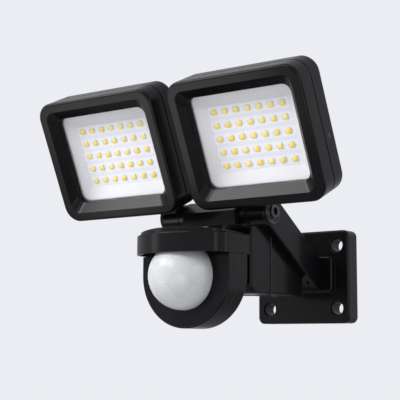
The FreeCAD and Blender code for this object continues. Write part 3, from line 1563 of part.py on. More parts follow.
def hood_block(label, inset, low, high):
    """A block of the hood's outline with rounded upright corners."""
    body = new_body(label)
    sketch = new_sketch(body, "XY_Plane", low)
    add_hood_outline(sketch, inset)
    add_pad(sketch, high - low)
    shape = body.Tip.Shape
    uprights = edges_along(shape, Z)
    front = [edge for edge in uprights
             if shape.getElement(edge).BoundBox.YMax < -HOOD_BACK_OUT.value - inset.value - 1]
    dress(body, "Fillet", front, d.hood_corner - inset)
    shape = body.Tip.Shape
    rear = [edge for edge in edges_along(shape, Z)
            if shape.getElement(edge).BoundBox.YMin > -HOOD_BACK_OUT.value - inset.value - 0.01]
    dress(body, "Fillet", rear, d.hood_back_corner)
    return body


def make_sensor_hood():
    """Deep rim round the top of the sensor under a slightly domed cap."""
    skirt = hood_block("hood_skirt", size_of(0), d.hood_bottom_z, d.hood_rim_z)
    dress(skirt, "Fillet", edges_at(skirt.Tip.Shape, Z, d.hood_rim_z.value), d.hood_edge)
    sketch = new_sketch(skirt, "XY_Plane", d.hood_rim_z - d.hood_ceiling)
    add_hood_outline(sketch, d.hood_wall)
    add_pocket(sketch, d.hood_rim_z - d.hood_ceiling - d.hood_bottom_z)
    cap_block = hood_block("hood_cap_block", d.hood_cap_inset,
                           d.hood_rim_z - d.hood_ceiling / 2, d.hood_cap_top_z + d.hood_ceiling)
    dome = doc.addObject("Part::Sphere", "hood_cap_dome")
    dome.setExpression("Radius", d.hood_cap_radius.formula)
    middle = (HOOD_BACK_OUT + HOOD_SIDE_OUT + HOOD_REACH) / 2
    move(dome, 0, -middle, d.hood_cap_top_z - d.hood_cap_radius)
    cap = common("hood_cap", [cap_block, dome])
    return fuse("sensor_hood", [skirt, cap])


def make_sensor_lens():
    """Thin dome with a flat flange behind the front shell's hole."""
    flange_out = SENSOR_FACE_OUT - d.sensor_wall
    centre = (0, -DOME_CENTRE_OUT, DOME_CENTRE_Z)
    outer = doc.addObject("Part::Sphere", "dome_outer")
    outer.setExpression("Radius", d.dome_radius.formula)
    move(outer, *centre)
    hollow = doc.addObject("Part::Sphere", "dome_hollow")
    hollow.setExpression("Radius", (d.dome_radius - d.dome_wall).formula)
    move(hollow, *centre)
    reach = DOME_CENTRE_OUT + d.dome_radius - flange_out
    half = DOME_FLANGE_RADIUS
    keep = box("dome_keep", (-half, -flange_out - reach * 2, DOME_CENTRE_Z - half),
               (half * 2, reach * 2, half * 2))
    shell = common("dome_shell", [cut("dome_ball", outer, hollow), keep])
    start = (0, -flange_out + d.dome_flange_thickness, DOME_CENTRE_Z)
    disc = cylinder("dome_flange_disc", "-y", start, DOME_FLANGE_RADIUS,
                    d.dome_flange_thickness)
    hole = cylinder("dome_flange_hole", "-y", start, d.dome_radius - d.dome_wall * 2,
                    d.dome_flange_thickness)
    return fuse("sensor_lens", [shell, cut("dome_flange", disc, hole)])


def make_sensor_inside():
    """Ring behind the lens, sensor board and the heat detector on it."""
    ring_out = SENSOR_FACE_OUT - d.sensor_wall - d.dome_flange_thickness
    board_out = ring_out - d.lens_ring_length
    start = (0, -board_out, DOME_CENTRE_Z)
    disc = cylinder("lens_ring_disc", "-y", start, DOME_FLANGE_RADIUS, d.lens_ring_length)
    hole = cylinder("lens_ring_hole", "-y", start, DOME_FLANGE_RADIUS - d.lens_ring_wall,
                    d.lens_ring_length)
    cut("lens_ring", disc, hole)
    corner = (-d.sensor_board_width / 2, -board_out,
              DOME_CENTRE_Z - d.sensor_board_height / 2)
    box("sensor_board", corner,
        (d.sensor_board_width, d.sensor_board_thickness, d.sensor_board_height))
    cylinder("pir_element", "-y", start, d.pir_radius, d.pir_length)


def make_sensor_screws():
    """Four screws from the rear shell into the front shell."""
    members = []
    for number, (x, z) in enumerate(sensor_post_points(), start=1):
        members.append(screw(f"sensor_screw_{number}", "-y", (x, -SENSOR_BACK_OUT, z),
                             d.sensor_screw_length))
    return group("sensor_screws", members)


# The whole light

NODES = [
    "wall_plate", "wall_gasket", "cable_grommet", "arm_screws", "arm",
    "cross_bar", "cross_bar_cover", "cover_screws", "bar_screws",
    "pivot_bolts", "pivot_washers", "pivot_nuts", "friction_washers",
    "box_front", "box_rear", "box_seal", "box_screws",
    "driver_board", "transformer", "capacitor", "relay", "terminal_block", "terminal_screws",
    "swivel_block", "stem_screw", "hinge_pin",
    "sensor_front", "sensor_back", "sensor_hood", "sensor_lens", "lens_ring", "sensor_board",
    "pir_element", "time_dial", "lux_dial", "sensitivity_dial", "sensor_screws",
]
HEAD_NODES = [
    "bezel", "glass", "reflector", "led_board", "led_chips", "seal", "housing", "back",
    "head_screws", "knuckle", "knuckle_screws",
]


def make_light():
    """Every sub-part of the light."""
    make_wall_plate()
    make_wall_gasket()
    make_cable_grommet()
    make_arm_screws()
    make_arm()
    make_cross_bar()
    make_cross_bar_cover()
    make_cover_screws()
    make_bar_screws()
    make_pivot_bolts()
    make_pivot_rings()
    make_box_front()
    make_box_rear()
    make_box_seal()
    make_box_screws()
    make_driver()
    make_terminals()
    make_swivel_block()
    make_stem_screw()
    make_hinge_pin()
    make_sensor_front()
    make_sensor_back()
    make_sensor_hood()
    make_sensor_lens()
    make_sensor_inside()
    make_sensor_screws()
    make_dials()
    for name, side in SIDES.items():
        make_head(name, side)


def check_document():
    """Stop if any object failed to build."""
    for thing in doc.Objects:
        if "Invalid" in thing.State or "Error" in thing.State:
            raise RuntimeError(thing.Name + " failed to build")


def export_nodes():
    """Write each sub-part to its own file."""
    os.makedirs("parts", exist_ok=True)
    names = NODES + [f"{name}_{piece}" for name in SIDES for piece in HEAD_NODES]
    for name in names:
        shape = doc.getObjectsByLabel(name)[0].Shape
        if shape.isNull() or not shape.isValid():
            raise RuntimeError(name + " has no valid shape")
        shape.exportStep(f"parts/{name}.step")
        print(name, len(shape.Solids), round(shape.Volume, 1))


make_light()
doc.recompute()
check_document()
export_nodes()
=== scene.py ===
"""Motion sensor security light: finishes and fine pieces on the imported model."""

import math

import bmesh
import bpy
from bpy.props import FloatProperty, FloatVectorProperty, PointerProperty
from mathutils import Matrix, Vector


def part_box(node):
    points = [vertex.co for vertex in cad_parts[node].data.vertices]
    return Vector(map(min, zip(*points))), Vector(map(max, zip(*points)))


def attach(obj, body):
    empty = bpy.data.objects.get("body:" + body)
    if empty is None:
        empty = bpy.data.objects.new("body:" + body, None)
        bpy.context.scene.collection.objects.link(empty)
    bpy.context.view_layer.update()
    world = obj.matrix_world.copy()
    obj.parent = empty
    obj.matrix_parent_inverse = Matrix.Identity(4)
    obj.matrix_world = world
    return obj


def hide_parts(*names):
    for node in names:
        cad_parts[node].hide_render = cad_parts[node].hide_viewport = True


bl_info = {
    "name": "Motion sensor security light",
    "version": (1, 0, 0),
    "blender": (4, 5, 0),
    "location": "View3D > Sidebar > Security light",
    "description": "Dresses the packed security light with its finishes, fasteners and lenses",
    "category": "Object",
}

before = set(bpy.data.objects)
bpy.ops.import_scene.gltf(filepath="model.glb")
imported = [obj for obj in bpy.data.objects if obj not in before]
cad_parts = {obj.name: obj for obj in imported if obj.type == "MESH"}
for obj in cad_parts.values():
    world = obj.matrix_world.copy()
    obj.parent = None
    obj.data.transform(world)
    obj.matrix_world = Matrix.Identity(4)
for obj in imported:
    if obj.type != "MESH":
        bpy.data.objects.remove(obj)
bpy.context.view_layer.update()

FRONT = Vector((0, -1, 0))
BACK = Vector((0, 1, 0))
DOWN = Vector((0, 0, -1))
RIGHT = Vector((1, 0, 0))
SIDES = {"right": 1, "left": -1}
TILT_POINT = Vector((0, -0.1374, 0.0405))
HEAD_TILT = math.radians(24.9)
HEAD_CENTRE_X = 0.0617
HEAD_HALF_WIDTH = 0.055
LED_FIELD_CENTRE = 0.0625
LED_ROW_PITCH = 0.0099
LED_COLUMN_PITCH = 0.00944


def head_frame(side):
    """Matrix from a lamp head's own upright frame to the light's frame."""
    return (Matrix.Translation(TILT_POINT + Vector((HEAD_CENTRE_X * SIDES[side], 0, 0)))
            @ Matrix.Rotation(HEAD_TILT, 4, "X"))


# Sizes and colours that a user would change

def colour(name, description, default):
    """A colour property."""
    return FloatVectorProperty(name=name, description=description, default=default,
                               subtype="COLOR", size=3, min=0, max=1)


def distance(name, description, default):
    """A length property in metres."""
    return FloatProperty(name=name, description=description, default=default, unit="LENGTH",
                         min=0, precision=5)


def share(name, description, default, highest=1):
    """A plain number from nought up."""
    return FloatProperty(name=name, description=description, default=default, min=0,
                         max=highest)


def watts(name, lamp, default):
    """A lamp's power."""
    return share(f"{name} power", f"Watts of {lamp}", default, 200)


class StageSettings(bpy.types.PropertyGroup):
    """Camera, lamps and background."""
    background: colour("Background", "Pale colour behind the light", (0.839, 0.847, 0.888))
    ambient: share("Ambient", "Light from all round", 0.35, 5)
    key_power: watts("Key", "the soft box above the left head", 6.6)
    top_power: watts("Top", "the soft box above the middle", 4.6)
    fill_power: watts("Fill", "the soft box beside the camera", 2.8)
    low_power: watts("Low", "the card below the left head", 2.0)
    left_power: watts("Left", "the lamp on the left", 1.1)
    right_power: watts("Right", "the lamp on the right", 1.2)
    side_power: watts("Side", "the lamp beside the wall", 1.6)
    edge_power: watts("Edge", "the narrow lamp behind the plate", 1.0)
    rim_power: watts("Rim", "the lamp over the heads", 2.4)
    floor_drop: distance("Floor drop", "How far the floor lies below the fixings", 1.15)
    lens_length: FloatProperty(name="Lens length", description="Focal length in millimetres",
                               default=97.3417, min=1)


class ShellSettings(bpy.types.PropertyGroup):
    """The black moulded shells."""
    plastic: colour("Plastic", "Colour of the satin black moulding", (0.0032, 0.0034, 0.004))
    # Edge colour: a painted highlight along the edges, with some rubbed wear.
    edge_highlight_and_wear: colour("Edge highlight and wear", "Colour of the edges: painted highlight and rubbed wear", (0.05, 0.052, 0.057))
    roughness: share("Roughness", "Roughness of the moulding", 0.36)
    edge_radius: distance("Edge radius", "Softness of the moulding's edges", 0.0005)
    grain_depth: distance("Grain depth", "Depth of the moulding's grain", 0.000018)


class LampSettings(bpy.types.PropertyGroup):
    """The windows of the two heads."""
    reflector: colour("Reflector", "Colour of the white tray", (0.83, 0.83, 0.85))
    board: colour("Board", "Colour of the boards' solder mask", (0.885, 0.89, 0.93))
    track: colour("Track", "Colour of the mask between the rows", (0.70, 0.74, 0.84))
    phosphor: colour("Phosphor", "Colour of the LEDs' faces", (1.0, 0.78, 0.16))
    phosphor_pale: colour("Pale phosphor", "Colour of the palest LEDs", (1.0, 0.88, 0.36))
    # The sides' dark amber is deeper phosphor colour with painted shade on the LEDs' sides.
    amber_side_shade: colour("Amber and side shade", "Colour of the LEDs' sides", (0.42, 0.15, 0.015))
    chip_crown: distance("Crown", "Height of the rounded top of an LED", 0.00025)


class LensSettings(bpy.types.PropertyGroup):
    """The sensor's milky lens."""
    milk: colour("Milk", "Colour of the lens", (0.61, 0.622, 0.645))
    radius: distance("Radius", "Radius of the dome", 0.0246)
    groove: distance("Groove", "Width of the lines between the cells", 0.0005)
    groove_depth: distance("Groove depth", "Depth of those lines", 0.000072)


class FastenerSettings(bpy.types.PropertyGroup):
    """Screws, bolts, nuts and washers."""
    recess_reach: share("Recess reach", "Reach of the cross recess, of the head's radius", 0.64)
    recess_depth: distance("Recess depth", "Depth of the cross recess", 0.0009)
    thread_pitch: distance("Thread pitch", "Distance from thread to thread", 0.0008)
    cap_radius: distance("Cap radius", "Radius of the cup washers on the pivots", 0.0093)


class InsideSettings(bpy.types.PropertyGroup):
    """Boards and parts inside the closed shells."""
    mask: colour("Mask", "Colour of the green boards", (0.012, 0.085, 0.03))
    copper: colour("Copper", "Colour of tinned pads", (0.55, 0.53, 0.48))
    case: colour("Case", "Colour of the relay's case", (0.02, 0.06, 0.28))
    tape: colour("Tape", "Colour of the transformer's tape", (0.72, 0.5, 0.06))


def settings():
    """All the settings of the scene."""
    return bpy.context.scene.security_light


# Shader nodes

def scaled(tint, factor):
    """A colour made darker or brighter."""
    return [part * factor for part in tint]


class Value:
    """An output of a node. Arithmetic on it adds Math nodes."""

    def __init__(self, tree, socket):
        self.tree = tree
        self.socket = socket

    def maths(self, operation, *others):
        """This value and others through one Math node."""
        return self.tree.add("ShaderNodeMath", {"operation": operation},
                             dict(enumerate((self,) + others)))

    def __add__(self, other):
        return self.maths("ADD", other)

    def __sub__(self, other):
        return self.maths("SUBTRACT", other)

    def __mul__(self, other):
        return self.maths("MULTIPLY", other)

    def __truediv__(self, other):
        return self.maths("DIVIDE", other)

    def __radd__(self, other):
        return self.maths("ADD", other)

    def __rmul__(self, other):
        return self.maths("MULTIPLY", other)

    def __rsub__(self, other):
        return self.tree.add("ShaderNodeMath", {"operation": "SUBTRACT"}, {0: other, 1: self})

    def __abs__(self):
        return self.maths("ABSOLUTE")

    def most(self, other):
        """The larger of the two."""
        return self.maths("MAXIMUM", other)

    def power(self, exponent):
        """The value to a power."""
        return self.maths("POWER", exponent)

    def floor(self):
        """The whole number below."""
        return self.maths("FLOOR")

    def to_nearest(self, step):
        """Signed distance from the nearest multiple of step."""
        return self.maths("PINGPONG", step)

    def ramp(self, low, high, to_low=0, to_high=1):
        """The value spread smoothly from low..high to to_low..to_high."""
        return self.tree.add("ShaderNodeMapRange", {"interpolation_type": "SMOOTHSTEP"},
                             {0: self, 1: low, 2: high, 3: to_low, 4: to_high})


class Tree:
    """The node tree of a material or of the world."""

    def __init__(self, owner):
        owner.use_nodes = True
        self.tree = owner.node_tree
        self.tree.nodes.clear()

    def feed(self, socket, value):
        """Give a socket a value or a link; a colour is opaque."""
        if isinstance(value, Value):
            self.tree.links.new(value.socket, socket)
        elif socket.type == "RGBA":
            socket.default_value = (*value, 1)
        else:
            socket.default_value = value

    def add(self, kind, choices=None, inputs=None, output=0):
        """A node with its choices set first, and then its sockets given values or links."""
        node = self.tree.nodes.new(kind)
        for name, choice in (choices or {}).items():
            setattr(node, name, choice)
        for name, value in (inputs or {}).items():
            self.feed(node.inputs[name], value)
        return Value(self, node.outputs[output]) if node.outputs else None

    def mix(self, share_of_second, first, second):
        """Two colours mixed by a value."""
        return self.add("ShaderNodeMix", {"data_type": "RGBA"},
                        {0: share_of_second, 6: first, 7: second}, 2)


class Finish(Tree):
    """A material with one main shader."""

    def __init__(self, name, **constants):
        self.material = bpy.data.materials.new(name)
        super().__init__(self.material)
        self.shader = self.tree.nodes.new("ShaderNodeBsdfPrincipled")
        self.surface = self.tree.nodes.new("ShaderNodeOutputMaterial").inputs["Surface"]
        self.feed(self.surface, Value(self, self.shader.outputs[0]))
        self.set(**constants)
        self.place = self.add("ShaderNodeTexCoord", output="Object")

    def set(self, **sockets):
        """Give the shader's sockets values or links; an underscore stands for a space."""
        for name, value in sockets.items():
            self.feed(self.shader.inputs[name.replace("_", " ")], value)

    def noise(self, scale, detail=2):
        """Fractal noise about 0.5 over the object's own place."""
        return self.add("ShaderNodeTexNoise", None,
                        {"Vector": self.place, "Scale": scale, "Detail": detail})

    def specks(self, scale):
        """Distance from scattered points."""
        return self.add("ShaderNodeTexVoronoi", None, {"Vector": self.place, "Scale": scale})

    def parts(self, vector=None):
        """The three parts of a vector, by default of the place."""
        node = self.tree.nodes.new("ShaderNodeSeparateXYZ")
        self.feed(node.inputs[0], vector or self.place)
        return [Value(self, output) for output in node.outputs]

    def facing_up(self):
        """How far the surface faces up, nought to one."""
        return self.parts(self.add("ShaderNodeNewGeometry", output="Normal"))[2].most(0)

    def soft_edges(self, radius):
        """The normal with its edges rounded."""
        return self.add("ShaderNodeBevel", {"samples": 6}, {"Radius": radius})

    def edge_mask(self, radius):
        """One along sharp edges, nought on flats."""
        normal = self.add("ShaderNodeNewGeometry", output="Normal")
        along = self.add("ShaderNodeVectorMath", {"operation": "DOT_PRODUCT"},
                         {0: self.soft_edges(radius), 1: normal}, 1)
        return (1 - along).ramp(0.02, 0.3)

    def bump(self, height, depth, rounding=0):
        """A normal roughened by a height of a depth in metres, with its edges rounded."""
        inputs = {"Height": height, "Distance": depth}
        if rounding:
            inputs["Normal"] = self.soft_edges(rounding)
        return self.add("ShaderNodeBump", None, inputs)

    def wear(self, *nodes):
        """Put the finish on CAD nodes."""
        for node in nodes:
            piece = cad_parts[node]
            for slot in piece.material_slots:
                slot.link = "OBJECT"
                slot.material = self.material


# Mesh pieces

def new_object(name, data):
    """An object in the scene."""
    made = bpy.data.objects.new(name, data)
    bpy.context.scene.collection.objects.link(made)
    return made


def finish_piece(name, shape, finishes, body, replaced=(), matrix=None, sharp=35):
    """An object from a bmesh, with its finishes, its body and the CAD nodes it stands for."""
    bmesh.ops.remove_doubles(shape, verts=shape.verts, dist=1e-7)
    bmesh.ops.recalc_face_normals(shape, faces=shape.faces)
    for face in shape.faces:
        face.smooth = True
    for edge in shape.edges:
        edge.smooth = len(edge.link_faces) == 2 and edge.calc_face_angle(0) < math.radians(sharp)
    mesh = bpy.data.meshes.new(name)
    shape.to_mesh(mesh)
    shape.free()
    piece = new_object(name, mesh)
    for finish in finishes:
        mesh.materials.append(getattr(finish, "material", finish))
    if matrix:
        piece.matrix_world = matrix
    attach(piece, body)
    if replaced:
        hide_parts(*replaced)


def islands(node, into=None):
    """The separate solids of a CAD node, each as its points in the frame of a matrix."""
    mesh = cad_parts[node].data
    shape = bmesh.new()
    shape.from_mesh(mesh)
    bmesh.ops.remove_doubles(shape, verts=shape.verts, dist=1e-6)
    if into:
        bmesh.ops.transform(shape, matrix=into.inverted(), verts=shape.verts)
    found = []
    left = set(shape.verts)
    while left:
        member = [left.pop()]
        for vert in member:
            for link in vert.link_edges:
                other = link.other_vert(vert)
                if other in left:
                    left.remove(other)
                    member.append(other)
        found.append([vert.co.copy() for vert in member])
    shape.free()
    return sorted(found, key=lambda points: tuple(round(v, 4) for v in middle_of(points)))


def span(points):
    """Lowest and highest corner of some points."""
    return (Vector(min(p[i] for p in points) for i in range(3)),
            Vector(max(p[i] for p in points) for i in range(3)))


def middle_of(points):
    """Centre of the box round some points."""
    low, high = span(points)
    return (low + high) / 2


def turned(shape, profile, segments, matrix=Matrix.Identity(4), phase=0):
    """A profile of (radius, height) turned about Z; a radius of nought closes it."""
    rings = []
    for radius, height in profile:
        if radius < 1e-9:
            rings.append([shape.verts.new(matrix @ Vector((0, 0, height)))])
            continue
        rings.append([shape.verts.new(matrix @ Vector((
            radius * math.cos(math.tau * step / segments + phase),
            radius * math.sin(math.tau * step / segments + phase), height)))
            for step in range(segments)])
    for lower, upper in zip(rings, rings[1:]):
        for step in range(segments):
            following = (step + 1) % segments
            corners = []
            for vert in (lower[step % len(lower)], lower[following % len(lower)],
                         upper[following % len(upper)], upper[step % len(upper)]):
                if vert not in corners:
                    corners.append(vert)
            if len(corners) > 2:
                shape.faces.new(corners)
    return rings


def recess(shape, rim, outline, depth, matrix, taper=0.62):
    """A tapered hole of an outline of (x, y) in a face that a ring of vertices bounds."""
    levels = [[shape.verts.new(matrix @ Vector((x * size, y * size, height))) for x, y in outline]
              for size, height in ((1, 0), (taper, -depth))]
    count = len(outline)
    ratio = len(rim) // count
    for step in range(count):
        following = (step + 1) % count
        fan = [rim[(step * ratio + part) % len(rim)] for part in range(ratio + 1)]
        top = [levels[0][following], levels[0][step]]
        shape.faces.new(fan + top)
        shape.faces.new(top + [levels[1][step], levels[1][following]])
    shape.faces.new(levels[1])


def slab(shape, size, matrix, bevel, material=0, segments=2):
    """A box with rounded edges, centred on the matrix."""
    made = bmesh.ops.create_cube(shape, size=1, matrix=matrix @ Matrix.Diagonal((*size, 1)))
    edges = list(dict.fromkeys(edge for vert in made["verts"] for edge in vert.link_edges))
    for vert in made["verts"]:
        for face in vert.link_faces:
            face.material_index = material
    bmesh.ops.bevel(shape, geom=edges, offset=bevel, segments=segments, affect="EDGES",
                    profile=0.5, material=material)


def standing(point, outward):
    """Matrix with its origin at a point and Z along a direction."""
    return Matrix.Translation(point) @ outward.to_track_quat("Z", "X").to_matrix().to_4x4()


def round_node(node, outward):
    """Radius and length of a round CAD node, and the matrix at its outer face."""
    low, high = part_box(node)
    size = high - low
    length = abs(size.dot(outward))
    across = size.z if outward.x else size.x
    return across / 2, length, standing((low + high) / 2 + outward * length / 2, outward)


def slot_outline(reach, half_width):
    """The corners of a straight slot."""
    return [(reach, -half_width), (reach, half_width), (-reach, half_width), (-reach, -half_width)]


# Stage

MIDDLE_OF_LIGHT = Vector((0, -0.14, 0.04))
SQUARE = (0.4, 0.4)
TALL = (0.3, 0.5)
LAMPS = [
    ("key_box", (-0.545, -0.65, 0.53), 1.2, SQUARE),
    ("top_box", (-0.147, -0.835, 0.53), 1.2, SQUARE),
    ("fill_box", (0.47, -0.814, -0.342), 1.2, SQUARE),
    ("low_card", (-0.604, -0.72, -0.342), 1.2, SQUARE),
    ("left_strip", (-0.811, -0.568, 0.139), 1.2, TALL),
    ("right_strip", (0.858, -0.495, 0.139), 1.2, TALL),
    ("side_box", (0.94, 0.02, 0.34), 1.2, TALL),
    ("edge_strip", (0.87, 0.44, 0.21), 1.1, (0.12, 0.7)),
    ("rim_lamp", (-0.57, -0.06, 0.8), 1.1, (0.5, 0.8)),
]


def add_lamp(name, direction, reach, size, power):
    """A soft rectangular lamp that shines on the middle of the light."""
    lamp = bpy.data.lights.new(name, "AREA")
    lamp.shape = "RECTANGLE"
    lamp.size, lamp.size_y = size
    lamp.energy = power
    holder = new_object(name, lamp)
    place = MIDDLE_OF_LIGHT + Vector(direction).normalized() * reach
    facing = (MIDDLE_OF_LIGHT - place).to_track_quat("-Z", "Y").to_matrix().to_4x4()
    holder.matrix_world = Matrix.Translation(place) @ facing
    holder.visible_camera = False


class SECLIGHT_OT_stage(bpy.types.Operator):
    """Camera at the photograph's view, soft lamps, pale background and a floor to reflect"""
    bl_idname = "seclight.stage"
    bl_label = "Stage"

    def execute(self, context):
        stage = settings().stage
        context.scene.view_settings.view_transform = "Standard"
        self.make_camera(context, stage)
        self.make_world(context, stage)
        for name, direction, reach, size in LAMPS:
            power = getattr(stage, name.split("_")[0] + "_power")
            add_lamp(name, direction, reach, size, power)
        self.make_floor(stage)
        return {"FINISHED"}

    def make_camera(self, context, stage):
        """Camera where the photograph was taken from."""
        lens = bpy.data.cameras.new("photo_camera")
        lens.sensor_width = 36
        lens.lens = stage.lens_length
        lens.clip_start = 0.01
        camera = new_object("photo_camera", lens)
        place = (0.465459, -0.801887, -0.056095)
        turn, rise, roll = 0.62834279, 0.13294527, 0.00384268
        ahead = Vector((-math.sin(turn) * math.cos(rise), math.cos(turn) * math.cos(rise),
                        math.sin(rise)))
        right = Vector((math.cos(turn), math.sin(turn), 0))
        above = right.cross(ahead)
        across = right * math.cos(roll) + above * math.sin(roll)
        upward = above * math.cos(roll) - right * math.sin(roll)
        axes = Matrix((across, upward, -ahead)).transposed().to_4x4()
        camera.matrix_world = Matrix.Translation(place) @ axes
        context.scene.camera = camera

    def make_world(self, context, stage):
        """Pale background to the eye and in reflections, softer light on the rest."""
        world = bpy.data.worlds.new("pale_room")
        context.scene.world = world
        tree = Tree(world)
        path = tree.tree.nodes.new("ShaderNodeLightPath")
        seen = Value(tree, path.outputs["Is Camera Ray"])
        for ray in ("Is Glossy Ray", "Is Transmission Ray"):
            seen = seen.most(Value(tree, path.outputs[ray]))
        tint = tree.mix(seen, [stage.ambient] * 3, stage.background)
        light = tree.add("ShaderNodeBackground", None, {"Color": tint, "Strength": 1.0})
        tree.add("ShaderNodeOutputWorld", None, {"Surface": light})

    def make_floor(self, stage):
        """Wide pale floor far below the light, seen in reflections only."""
        shape = bmesh.new()
        bmesh.ops.create_grid(shape, x_segments=8, y_segments=8, size=3,
                              matrix=Matrix.Translation((0, 0, -stage.floor_drop)))
        mesh = bpy.data.meshes.new("floor")
        shape.to_mesh(mesh)
        shape.free()
        floor = new_object("floor", mesh)
        floor.visible_camera = False
        paint = Finish("floor_paint", Roughness=0.9, Specular_IOR_Level=0.1)
        cloud = paint.noise(3)
        pale = stage.background
        paint.set(Base_Color=paint.mix(cloud, scaled(pale, 0.97), pale))
        mesh.materials.append(paint.material)


# Finishes

def shell_finish():
    """Satin black moulded plastic with a fine spark-eroded grain, and edges painted lighter: a
    painted highlight with some rubbed wear.
    """
    look = settings().shell
    finish = Finish("shell_plastic", Specular_IOR_Level=0.06, IOR=1.45, Coat_Weight=0.17,
                    Coat_Roughness=0.14)
    broad = finish.noise(38, 3)
    fine = finish.noise(1900)
    handling_and_highlight_noise = finish.noise(120, 4)
    # Painted highlight: edges lightened in patches, standing for the light they catch, with some
    # rubbed wear.
    edges = finish.edge_mask(look.edge_radius * 1.8) * handling_and_highlight_noise.ramp(0.3, 0.7, 0.75, 1)
    dust = finish.facing_up().ramp(0.6, 1) * finish.noise(260, 5).ramp(0.45, 0.8) * 0.25
    base = finish.mix(broad.ramp(0.3, 0.7), scaled(look.plastic, 0.86), scaled(look.plastic, 1.14))
    base = finish.mix(edges * 0.8, base, look.edge_highlight_and_wear)
    base = finish.mix(dust, base, (0.05, 0.049, 0.046))
    rough = look.roughness + (handling_and_highlight_noise - 0.5) * 0.1 + (fine - 0.5) * 0.06 + dust * 0.6
    normal = finish.bump(fine * 0.12 + broad * 0.6, look.grain_depth, look.edge_radius)
    finish.set(Base_Color=base, Roughness=rough, Normal=normal)
    return finish


def rubber_finish():
    """Soft black rubber with a matt bloom."""
    finish = Finish("seal_rubber", Specular_IOR_Level=0.3)
    bloom = finish.noise(240, 4)
    grain = finish.noise(2600)
    finish.set(Base_Color=finish.mix(bloom, (0.012, 0.012, 0.013), (0.03, 0.03, 0.031)),
               Roughness=0.72 + (bloom - 0.5) * 0.2,
               Normal=finish.bump(grain + bloom, 0.00004, 0.0002))
    return finish


def steel_finish(name="screw_steel", tint=(0.52, 0.52, 0.53), dark=(0.4, 0.4, 0.41), rough=0.32,
                 metallic=1.0):
    """Plated or coated steel with fine turning marks and dull spots."""
    finish = Finish(name, Metallic=metallic)
    spots = finish.noise(500, 4)
    turning = finish.noise(3200)
    edges = finish.edge_mask(0.0002)
    base = finish.mix(spots.ramp(0.35, 0.7), dark, tint)
    base = finish.mix(edges * 0.5, base, [min(1, part * 1.6 + 0.02) for part in tint])
    finish.set(Base_Color=base, Roughness=rough + (spots - 0.5) * 0.25,
               Normal=finish.bump(turning, 0.00001, 0.00012))
    return finish


SHELL_NODES = ["wall_plate", "arm", "cross_bar", "cross_bar_cover", "box_front", "box_rear",
               "swivel_block", "sensor_front", "sensor_back", "sensor_hood"]
SHELL_NODES += [f"{side}_{part}" for side in SIDES
                for part in ("bezel", "housing", "back", "knuckle")]
SEAL_NODES = ["wall_gasket", "cable_grommet", "friction_washers", "box_seal", "right_seal",
              "left_seal"]


class SECLIGHT_OT_shells(bpy.types.Operator):
    """Satin black plastic on the plate, arm, bar, box, sensor and heads"""
    bl_idname = "seclight.shells"
    bl_label = "Shells"

    def execute(self, context):
        shell_finish().wear(*SHELL_NODES)
        rubber_finish().wear(*SEAL_NODES)
        return {"FINISHED"}


class SECLIGHT_OT_windows(bpy.types.Operator):
    """Glass, white trays and LED boards of both heads"""
    bl_idname = "seclight.windows"
    bl_label = "Windows"

    def execute(self, context):
        look = settings().lamp
        self.make_glass().wear("right_glass", "left_glass")
        tray = Finish("reflector_white", Specular_IOR_Level=0.5)
        cloud = tray.noise(60, 3)
        tray.set(Base_Color=tray.mix(cloud, scaled(look.reflector, 0.95), look.reflector),
                 Roughness=0.28 + cloud * 0.12,
                 Normal=tray.bump(tray.noise(400, 3), 0.00003, 0.00015))
        tray.wear("right_reflector", "left_reflector")
        self.make_board_finish().wear("right_led_board", "left_led_board")
        return {"FINISHED"}

    def make_glass(self):
        """Clear flat glass: seen through, with a Fresnel gloss."""
        finish = Finish("lamp_glass", Roughness=0.04, Specular_IOR_Level=0.5)
        smear = finish.noise(90, 4)
        finish.set(Base_Color=finish.mix(smear, (0.85, 0.9, 0.93), (0.9, 0.94, 0.96)))
        clear = finish.add("ShaderNodeBsdfTransparent", None, {"Color": (0.985, 0.985, 0.99)})
        gloss = finish.add("ShaderNodeFresnel", None, {"IOR": 1.45})
        inner = finish.add("ShaderNodeNewGeometry", output="Backfacing")
        amount = (gloss * 0.4 + smear.ramp(0.5, 0.9, 0, 0.01)) * (1 - inner)
        glossy = Value(finish, finish.shader.outputs[0])
        blend = finish.add("ShaderNodeMixShader", None, {0: amount, 1: clear, 2: glossy})
        finish.feed(finish.surface, blend)
        return finish

    def make_board_finish(self):
        """White solder mask with buried tracks between the rows."""
        look = settings().lamp
        finish = Finish("led_board_white", Specular_IOR_Level=0.5)
        _, y, z = finish.parts()
        upright = ((z - TILT_POINT.z) * math.cos(HEAD_TILT)
                   - (y - TILT_POINT.y) * math.sin(HEAD_TILT))
        between = ((upright - LED_FIELD_CENTRE) / LED_ROW_PITCH).to_nearest(0.5) * 2
        band = between.ramp(0.62, 0.8)
        ripple = finish.noise(300, 3)
        base = finish.mix(band * 0.55 + (ripple - 0.5) * 0.2, look.board, look.track)
        finish.set(Base_Color=base, Roughness=0.34 + (ripple - 0.5) * 0.2,
                   Normal=finish.bump(band * 0.5 + ripple * 0.3, 0.00004))
        return finish


LED_FACE, LED_SIDE, LED_SOLDER = range(3)


